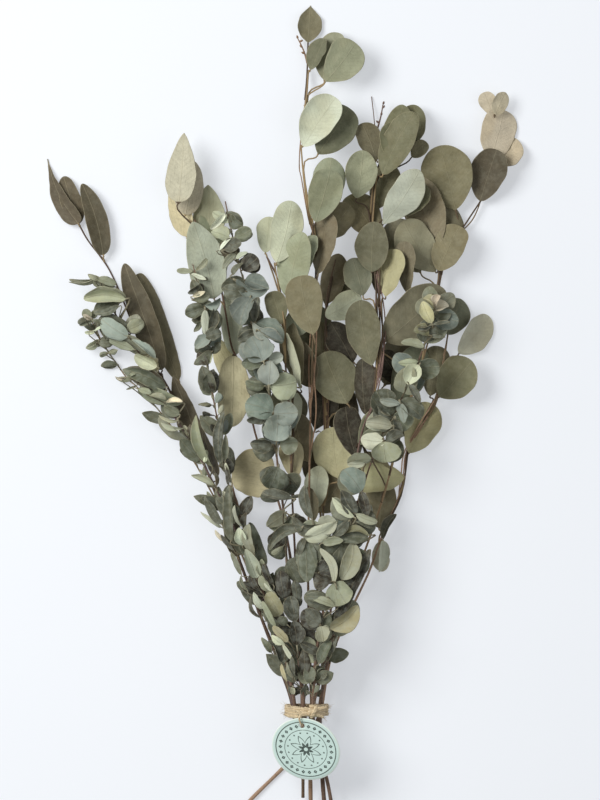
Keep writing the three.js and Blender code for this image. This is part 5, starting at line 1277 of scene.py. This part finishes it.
def tag_surface(card_lift):
    """A ring of card between the punched hole and the rim, with rounded edges. place is the point on its
    face in millimetres."""
    surface, half, soft = Surface(), TAG["thick"] / 2, CARD_EDGE
    ray = round_ways(CARD_SIDES)[:, :2]
    along = ray @ TAG_HOLE
    reach = -along + np.sqrt(along ** 2 - TAG_HOLE @ TAG_HOLE + TAG["radius"] ** 2)
    share = np.linspace(0, 1, 15)
    section = [(1, 0, -half + soft), (1, 0, half - soft)] + [(k, soft, half) for k in share[::-1]]
    section += [(0, 0, half - soft), (0, 0, -half + soft)] + [(k, soft, -half) for k in share]
    rings_of = []
    for k, inset, h in section:
        far = TAG["hole"] + inset + (reach - TAG["hole"] - 2 * inset) * k
        flat_at = TAG_HOLE + ray * far[:, None]
        bend = 0.5 * np.sin(flat_at[:, 0] * 0.05 + 0.6) * np.sin(flat_at[:, 1] * 0.045)
        rings_of.append(np.column_stack([flat_at, h + CARD_BEND * bend]))
    local = np.array(rings_of)
    points = local.reshape(-1, 3) @ tag_frame() + flat(TAG["x"], TAG["y"], card_lift)
    quads = grid_faces(len(section) + 1, CARD_SIDES) % len(points)
    surface.add(points, quads, np.zeros((0, 3), int), 0, colour(CARD), local.reshape(-1, 3))
    return surface


# Materials

class Term:
    """A value or a colour on its way to a shader. Sums and products make the nodes that work them out."""

    def __init__(self, tree, socket):
        self.tree, self.socket = tree, socket

    def math(self, kind, other=None):
        """One step of arithmetic with another term or number."""
        node = self.tree.nodes.new("ShaderNodeMath")
        node.operation = kind
        for place, value in enumerate((self, other)):
            if value is not None:
                join(self.tree, value, node.inputs[place])
        return Term(self.tree, node.outputs[0])

    def __add__(self, other):
        return self.math("ADD", other)

    def __sub__(self, other):
        return self.math("SUBTRACT", other)

    def __mul__(self, other):
        return self.math("MULTIPLY", other)

    def __truediv__(self, other):
        return self.math("DIVIDE", other)

    def __rsub__(self, other):
        return (self * -1) + other

    def __neg__(self):
        return self * -1

    __radd__ = __add__
    __rmul__ = __mul__

    def size(self):
        """The value without its sign."""
        return self.math("ABSOLUTE")

    def step(self, low, high):
        """0 at low, 1 at high, smooth between."""
        node = self.tree.nodes.new("ShaderNodeMapRange")
        node.interpolation_type = "SMOOTHSTEP"
        join(self.tree, self, node.inputs["Value"])
        node.inputs["From Min"].default_value = min(low, high)
        node.inputs["From Max"].default_value = max(low, high)
        node.inputs["To Min"].default_value = float(low > high)
        node.inputs["To Max"].default_value = float(low < high)
        return Term(self.tree, node.outputs["Result"])

    def fold(self):
        """The distance to the nearest whole number."""
        return self.math("PINGPONG", 0.5)

    def line(self, spacing, width):
        """1 on lines each spacing apart, 0 farther than width from them."""
        return ((self / spacing).fold() * spacing).step(width, 0)

    def parts(self):
        """The three values of a vector."""
        node = self.tree.nodes.new("ShaderNodeSeparateXYZ")
        join(self.tree, self, node.inputs[0])
        return [Term(self.tree, out) for out in node.outputs]


def join(tree, value, place):
    """Links a term to a socket, or sets the socket to a plain value."""
    if isinstance(value, Term):
        tree.links.new(value.socket, place)
    elif place.type == "RGBA":
        place.default_value = (*value, 1)
    else:
        place.default_value = value


class Finish:
    """A procedural material."""

    def __init__(self, name):
        self.material = bpy.data.materials.new(name)
        self.material.use_nodes = True
        self.tree = self.material.node_tree
        self.shader = self.tree.nodes["Principled BSDF"]

    def node(self, kind, inputs=(), out=0, **settings):
        """A node with its inputs and settings, as the term of one of its outputs."""
        node = self.tree.nodes.new(kind)
        for key, value in settings.items():
            setattr(node, key, value)
        for key, value in dict(inputs).items():
            join(self.tree, value, node.inputs[key])
        return Term(self.tree, node.outputs[out])

    def stored(self, name):
        """A value that the surface holds at its points."""
        return self.node("ShaderNodeAttribute", out="Vector", attribute_name=name)

    def own_place(self):
        return self.node("ShaderNodeTexCoord", out="Object")

    def vector(self, x, y, z):
        return self.node("ShaderNodeCombineXYZ", {"X": x, "Y": y, "Z": z})

    def noise(self, at, scale, detail, rough=0.5):
        return self.node("ShaderNodeTexNoise", {"Vector": at, "Scale": scale, "Detail": detail,
                                                "Roughness": rough}, out="Fac")

    def cells(self, at, scale, feature="F1"):
        return self.node("ShaderNodeTexVoronoi", {"Vector": at, "Scale": scale}, "Distance", feature=feature)

    def mix(self, share, a, b, kind="MIX"):
        """a (1 - share) + b share, or for MULTIPLY a (1 - share) + a b share."""
        node = self.tree.nodes.new("ShaderNodeMix")
        node.data_type, node.blend_type = "RGBA", kind
        for place, value in ((0, share), (6, a), (7, b)):
            join(self.tree, value, node.inputs[place])
        return Term(self.tree, node.outputs[2])

    def scaled(self, tone, factor):
        return self.node("ShaderNodeVectorMath", {0: tone, "Scale": factor}, operation="SCALE")

    def mottled(self, *patches):
        """The stored tone times 1 plus the sum of (patch - 0.5) amount."""
        shifts = [(patch - 0.5) * amount for patch, amount in patches]
        return self.scaled(self.stored("tone"), sum(shifts[1:], shifts[0]) + 1.0)

    def coats(self, tone, *layers):
        """The tone with colours laid over it, each by its share."""
        for share, shade in layers:
            tone = self.mix(share, tone, colour(shade))
        return tone

    def bump(self, height, distance, strength):
        return self.node("ShaderNodeBump", {"Height": height, "Distance": distance, "Strength": strength})

    def set(self, **values):
        """Joins values to the shader, and hands back the material."""
        for key, value in values.items():
            join(self.tree, value, self.shader.inputs[key.replace("_", " ")])
        return self.material


def leaf_finish(name, look):
    """Dried leaf: its own tone, mottled, with a pale midrib and side veins, a pale rim that is partly the
    leaf's pale margin and partly a painted highlight, and a paler underside.
    """
    f = Finish(name)
    x, y, luck = f.stored("place").parts()
    rim, along, under = f.stored("size").parts()
    at = f.vector(x + luck * 61, y + luck * 137, luck * 23)
    coarse = f.noise(at, 0.11, 3, 0.55)
    medium = f.noise(at, 0.42, 3, 0.6)
    fine = f.noise(at, 2.1, 2, 0.6)
    wide = x.size()
    bend = (f.noise(at, 0.3, 2) - 0.5) * 3
    midrib = wide.step(look["midrib"], look["midrib"] * 0.35)
    if look["fan"]:
        veins = (x.math("ARCTAN2", y + 3) + bend * 0.04).line(look["fan"], 0.035) * y.step(1, 4)
    else:
        veins = (y - wide * look["slant"] + bend + luck * 9).line(look["spacing"], look["vein"])
        veins = veins * wide.step(0.2, 1.2)
    net = f.cells(at, look["net"], "DISTANCE_TO_EDGE").step(0.09, 0.0)
    blade = along.step(-0.5, 0)
    # edge: a thin pale line along the rim, partly the leaf's pale margin and partly a painted highlight
    edge = rim.step(look["rim"], look["rim"] * 0.35) * blade
    tone = f.scaled(f.stored("tone"), (coarse - 0.5) * look["mottle"] + (medium - 0.5) * look["mottle"] * 0.7
                    + (fine - 0.5) * 0.16 + 1.0)
    rusty = coarse.step(0.5, 0.72) * look["rust"] + rim.step(4, 0.3) * medium.step(0.45, 0.7) * look["rust"]
    tone = f.coats(tone, (rusty, "#6b4a30"))
    patina = f.noise(f.vector(x + luck * 211, y + luck * 57, luck * 91), 0.034, 1)
    tone = f.mix(patina.step(0.46, 0.62) * look["patina"], tone, colour("#d8cdb6"), "MULTIPLY")
    streak = f.noise(f.vector(x * 2.6 + luck * 61, y * 0.16, luck * 23), 0.5, 3, 0.6)
    bloom = f.noise(at, 0.22, 4, 0.62).step(0.38, 0.66)
    freckle = f.cells(at, 0.55).step(0.2, 0.08) * f.noise(at, 0.16, 1).step(0.52, 0.62)
    tone = f.coats(tone, (veins * look["vein_light"] + net * look["net_light"], look["pale"]),
                   (streak.step(0.5, 0.72) * look["streak"], look["dark"]),
                   (bloom * look["bloom"], look["dust"]),
                   (midrib * blade * look["midrib_light"], look["pale"]),
                   (edge * look["rim_light"], look["pale"]), (under * look["under"], look["pale"]),
                   (freckle * look["freckle"], "#3c2c1e"))
    stalk = f.mix(luck.step(0.35, 0.65), colour(look["stalk"]), colour(look["stalk_dark"]))
    tone = f.mix(blade, stalk, tone)
    relief = (midrib * 0.9 + veins * 0.5 + net * 0.22) * (under * -1.6 + 1) + fine * 0.35 + medium * 0.9
    return f.set(Base_Color=tone, Roughness=medium * 0.22 + look["rough"], Specular_IOR_Level=0.34,
                 Normal=f.bump(relief, 0.0003, 0.9))


LOOK = dict(fan=0, midrib=0.4, slant=0.75, spacing=3.4, vein=0.22, net=1.1, rim=0.6, mottle=0.5, rust=0.08,
            vein_light=0.09, net_light=0.04, midrib_light=0.15, rim_light=0.3, patina=0.35, streak=0.0,
            bloom=0.1, freckle=0.35, pale="#c8bf9f", dark="#43382a", dust="#a9ab98", stalk="#94805f",
            stalk_dark="#4e4032", rough=0.5, under=0.12)
LEAF_LOOKS = dict(
    dollar=LOOK,
    long=dict(LOOK, spacing=4.6, slant=0.9, streak=0.22, patina=0.25, midrib=0.5, midrib_light=0.16,
              bloom=0.06, net_light=0.03),
    baby=dict(LOOK, fan=0.3, stalk="#8f8a74", stalk_dark="#67604c", vein_light=0.12, midrib=0.35,
              midrib_light=0.1, rim=0.45, mottle=0.45, bloom=0.25, dust="#a3aca3", rust=0.05, freckle=0.2,
              patina=0.3),
)


def bark_finish(name):
    """Woody stem: streaked along its run, with darker rings and small warts."""
    f = Finish(name)
    turn, run, _ = f.stored("place").parts()
    at = f.own_place()
    streaks = f.noise(f.vector(turn * 9, run * 0.09, 0), 1.0, 4, 0.62)
    blotch = f.noise(at, 90, 3)
    warts = f.cells(at, 620).step(0.32, 0.1)
    rings = run.line(9, 0.5) * f.noise(at, 160, 1).step(0.5, 0.6)
    tone = f.coats(f.mottled((streaks, 0.8), (blotch, 0.7)), (warts * 0.35, "#c0a888"),
                   (rings * 0.4, "#3a2a22"))
    return f.set(Base_Color=tone, Roughness=streaks * 0.25 + 0.55, Specular_IOR_Level=0.32,
                 Normal=f.bump(streaks * 0.8 + warts * 0.5 - rings * 0.5, 0.0003, 0.8))


def jute_finish(name):
    """Twisted jute: fine hairs that wind with the plies, light and dark."""
    f = Finish(name)
    turn, run, _ = f.stored("place").parts()
    at = f.own_place()
    wind = turn - run * 0.118
    hairs = f.noise(f.vector(wind * 42, run * 0.35, 0), 1.0, 3, 0.7)
    blotch = f.noise(at, 260, 2)
    groove = (wind * 3).line(1.0, 0.3)
    tone = f.coats(f.mottled((hairs, 1.1), (blotch, 0.5)), (hairs.step(0.56, 0.75) * 0.45, "#efe2c6"),
                   (hairs.step(0.42, 0.28) * 0.4, "#8a6f4c"))
    return f.set(Base_Color=tone, Roughness=0.9, Specular_IOR_Level=0.2,
                 Normal=f.bump(hairs + groove * 0.4, 0.00035, 1.0))


def card_finish(name):
    """Mint card with a pattern in dark ink: rings near the rim, a band of lozenges, a rosette of eight petals
    and small dots, and a paler rim."""
    f = Finish(name)
    u, v, _ = f.stored("place").parts()
    at = f.vector(u, v, 0)
    far = (u * u + v * v).math("SQRT")
    turn = v.math("ARCTAN2", u) / (2 * math.pi)
    ring, thin_ring = (far - 24.6).size().step(0.5, 0.34), (far - 17.4).size().step(0.32, 0.18)
    lozenge = (turn * 26).fold() * 5.6 + (far - 21).size()
    petal = (turn * 8 + 0.25).fold() * 2
    outline = (far - petal * 7.2 - 5.4).size().step(0.75, 0.5)
    heart = (far - petal * 3.4 - 3.0).step(0.2, -0.05) * far.step(1.5, 1.8)
    dots = (turn * 16).fold() * 5.2 + (far - 14.8).size()
    ink = ring
    for mark in (thin_ring, lozenge.step(1.85, 1.6) * lozenge.step(0.3, 0.5), outline, heart,
                 dots.step(0.95, 0.7)):
        ink = ink.math("MAXIMUM", mark)
    grain = f.noise(at, 1.6, 4, 0.65)
    cloud = f.noise(at, 0.09, 2)
    worn = f.noise(at, 3.2, 2).step(0.33, 0.42)
    tone = f.coats(f.mottled((grain, 0.12), (cloud, 0.16)), (far.step(26.6, 27.6) * 0.55, "#eef3ea"),
                   (ink * worn * 0.97, "#27352e"))
    return f.set(Base_Color=tone, Roughness=grain * 0.15 + 0.5, Specular_IOR_Level=0.35,
                 Normal=f.bump(grain, 0.00006, 0.7))


def floor_finish(name):
    """Pale matte board with a faint grain and a little light of its own, like a light table."""
    f = Finish(name)
    at = f.own_place()
    grain, cloud = f.noise(at, 900, 2), f.noise(at, 2.2, 2)
    tone = f.mix(cloud, colour("#b3b7bd"), colour("#b9bdc2"))
    return f.set(Base_Color=tone, Roughness=0.85, Specular_IOR_Level=0.2, Normal=f.bump(grain, 0.00002, 0.5),
                 Emission_Color=colour("#f6f9ff"), Emission_Strength=0.44)


# The bunch

ground = height_field(-GAP)
rows_of = FIELD["y0"] + (np.arange(FIELD["ny"]) + 0.5) * CELL
ground.reshape(FIELD["ny"], FIELD["nx"])[(rows_of > TIE_LOW - 2) & (rows_of < TIE_HIGH + 2)] = TIE_ROOM
bunch = [lay(spray, ground, k + 1) for k, spray in enumerate(SPRAYS)]
stamp(samples(plain_wraps(bunch)), ground)
found = np.vstack([samples(plain_strand(*strand)) for strand in STRANDS])
knot_lift = rise(found, ground)
stamp(found, ground, 1, knot_lift)
disc = np.vstack([r * round_ways(32) for r in range(1, TAG["radius"] + 1)])
disc = disc @ tag_frame() + flat(TAG["x"], TAG["y"])
card_lift = rise(disc, ground) + TAG["thick"] / 2 + STRING_ROOM
bring_front(bunch, ground)
lay_backing(bunch)
lay_loose(bunch, ground, 7)


def fit_piece(surface, node, finishes):
    """Puts a finer piece over a node of the solids."""
    piece = surface.build(node + "_fine", finishes)
    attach(piece, BODY)
    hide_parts(node)


bark = bark_finish("bark")
leaf_finishes = {key: leaf_finish(key + "_leaf", look) for key, look in LEAF_LOOKS.items()}
for k, laid in enumerate(bunch):
    form, surface = laid["spray"]["form"], spray_surface(laid, k + 1, ground)
    press_down(surface.points)
    fit_piece(surface, laid["spray"]["name"], [leaf_finishes[form], bark])
fit_piece(jute_band(bunch), "jute_wraps", [jute_finish("jute")])
fit_piece(jute_tie(knot_lift, card_lift), "jute_knot", [jute_finish("jute_string")])
fit_piece(tag_surface(card_lift), "card_tag", [card_finish("card")])

# The surface it lies on, and soft light from the left and the top of the view

BOARD = dict(size=8, level=-0.0004)
# Lamps: name, place and size in metres, power in watts, and tint
LAMPS = (("window", (-1.35, 0.95, 1.75), 1.2, 52, (1.0, 0.985, 0.95)),
         ("fill", (1.3, 0.1, 1.9), 1.6, 7, (0.95, 0.98, 1.0)))
LIGHT_ALL_ROUND = dict(Color=(1.0, 0.985, 0.955, 1), Strength=0.3)
bpy.ops.mesh.primitive_plane_add(size=BOARD["size"], location=(*MIDDLE[:2], BOARD["level"]))
floor = bpy.context.object
floor.data.materials.append(floor_finish("board"))


def soft_light(name, at, size, power, tint):
    """A square lamp that faces the middle of the view."""
    lamp = bpy.data.lights.new(name, "AREA")
    lamp.shape, lamp.size, lamp.energy, lamp.color = "SQUARE", size, power, tint
    lamp_object = bpy.data.objects.new(name, lamp)
    lamp_object.location = at
    away = unit(np.array(at) - MIDDLE)
    lamp_object.rotation_euler = (math.acos(away[2]), 0, math.atan2(away[1], away[0]) + math.pi / 2)
    bpy.context.collection.objects.link(lamp_object)


for lamp_values in LAMPS:
    soft_light(*lamp_values)
world = bpy.data.worlds.new("room")
world.use_nodes = True
for key, value in LIGHT_ALL_ROUND.items():
    world.node_tree.nodes["Background"].inputs[key].default_value = value
bpy.context.scene.world = world
bpy.context.scene.view_settings.view_transform = "Standard"
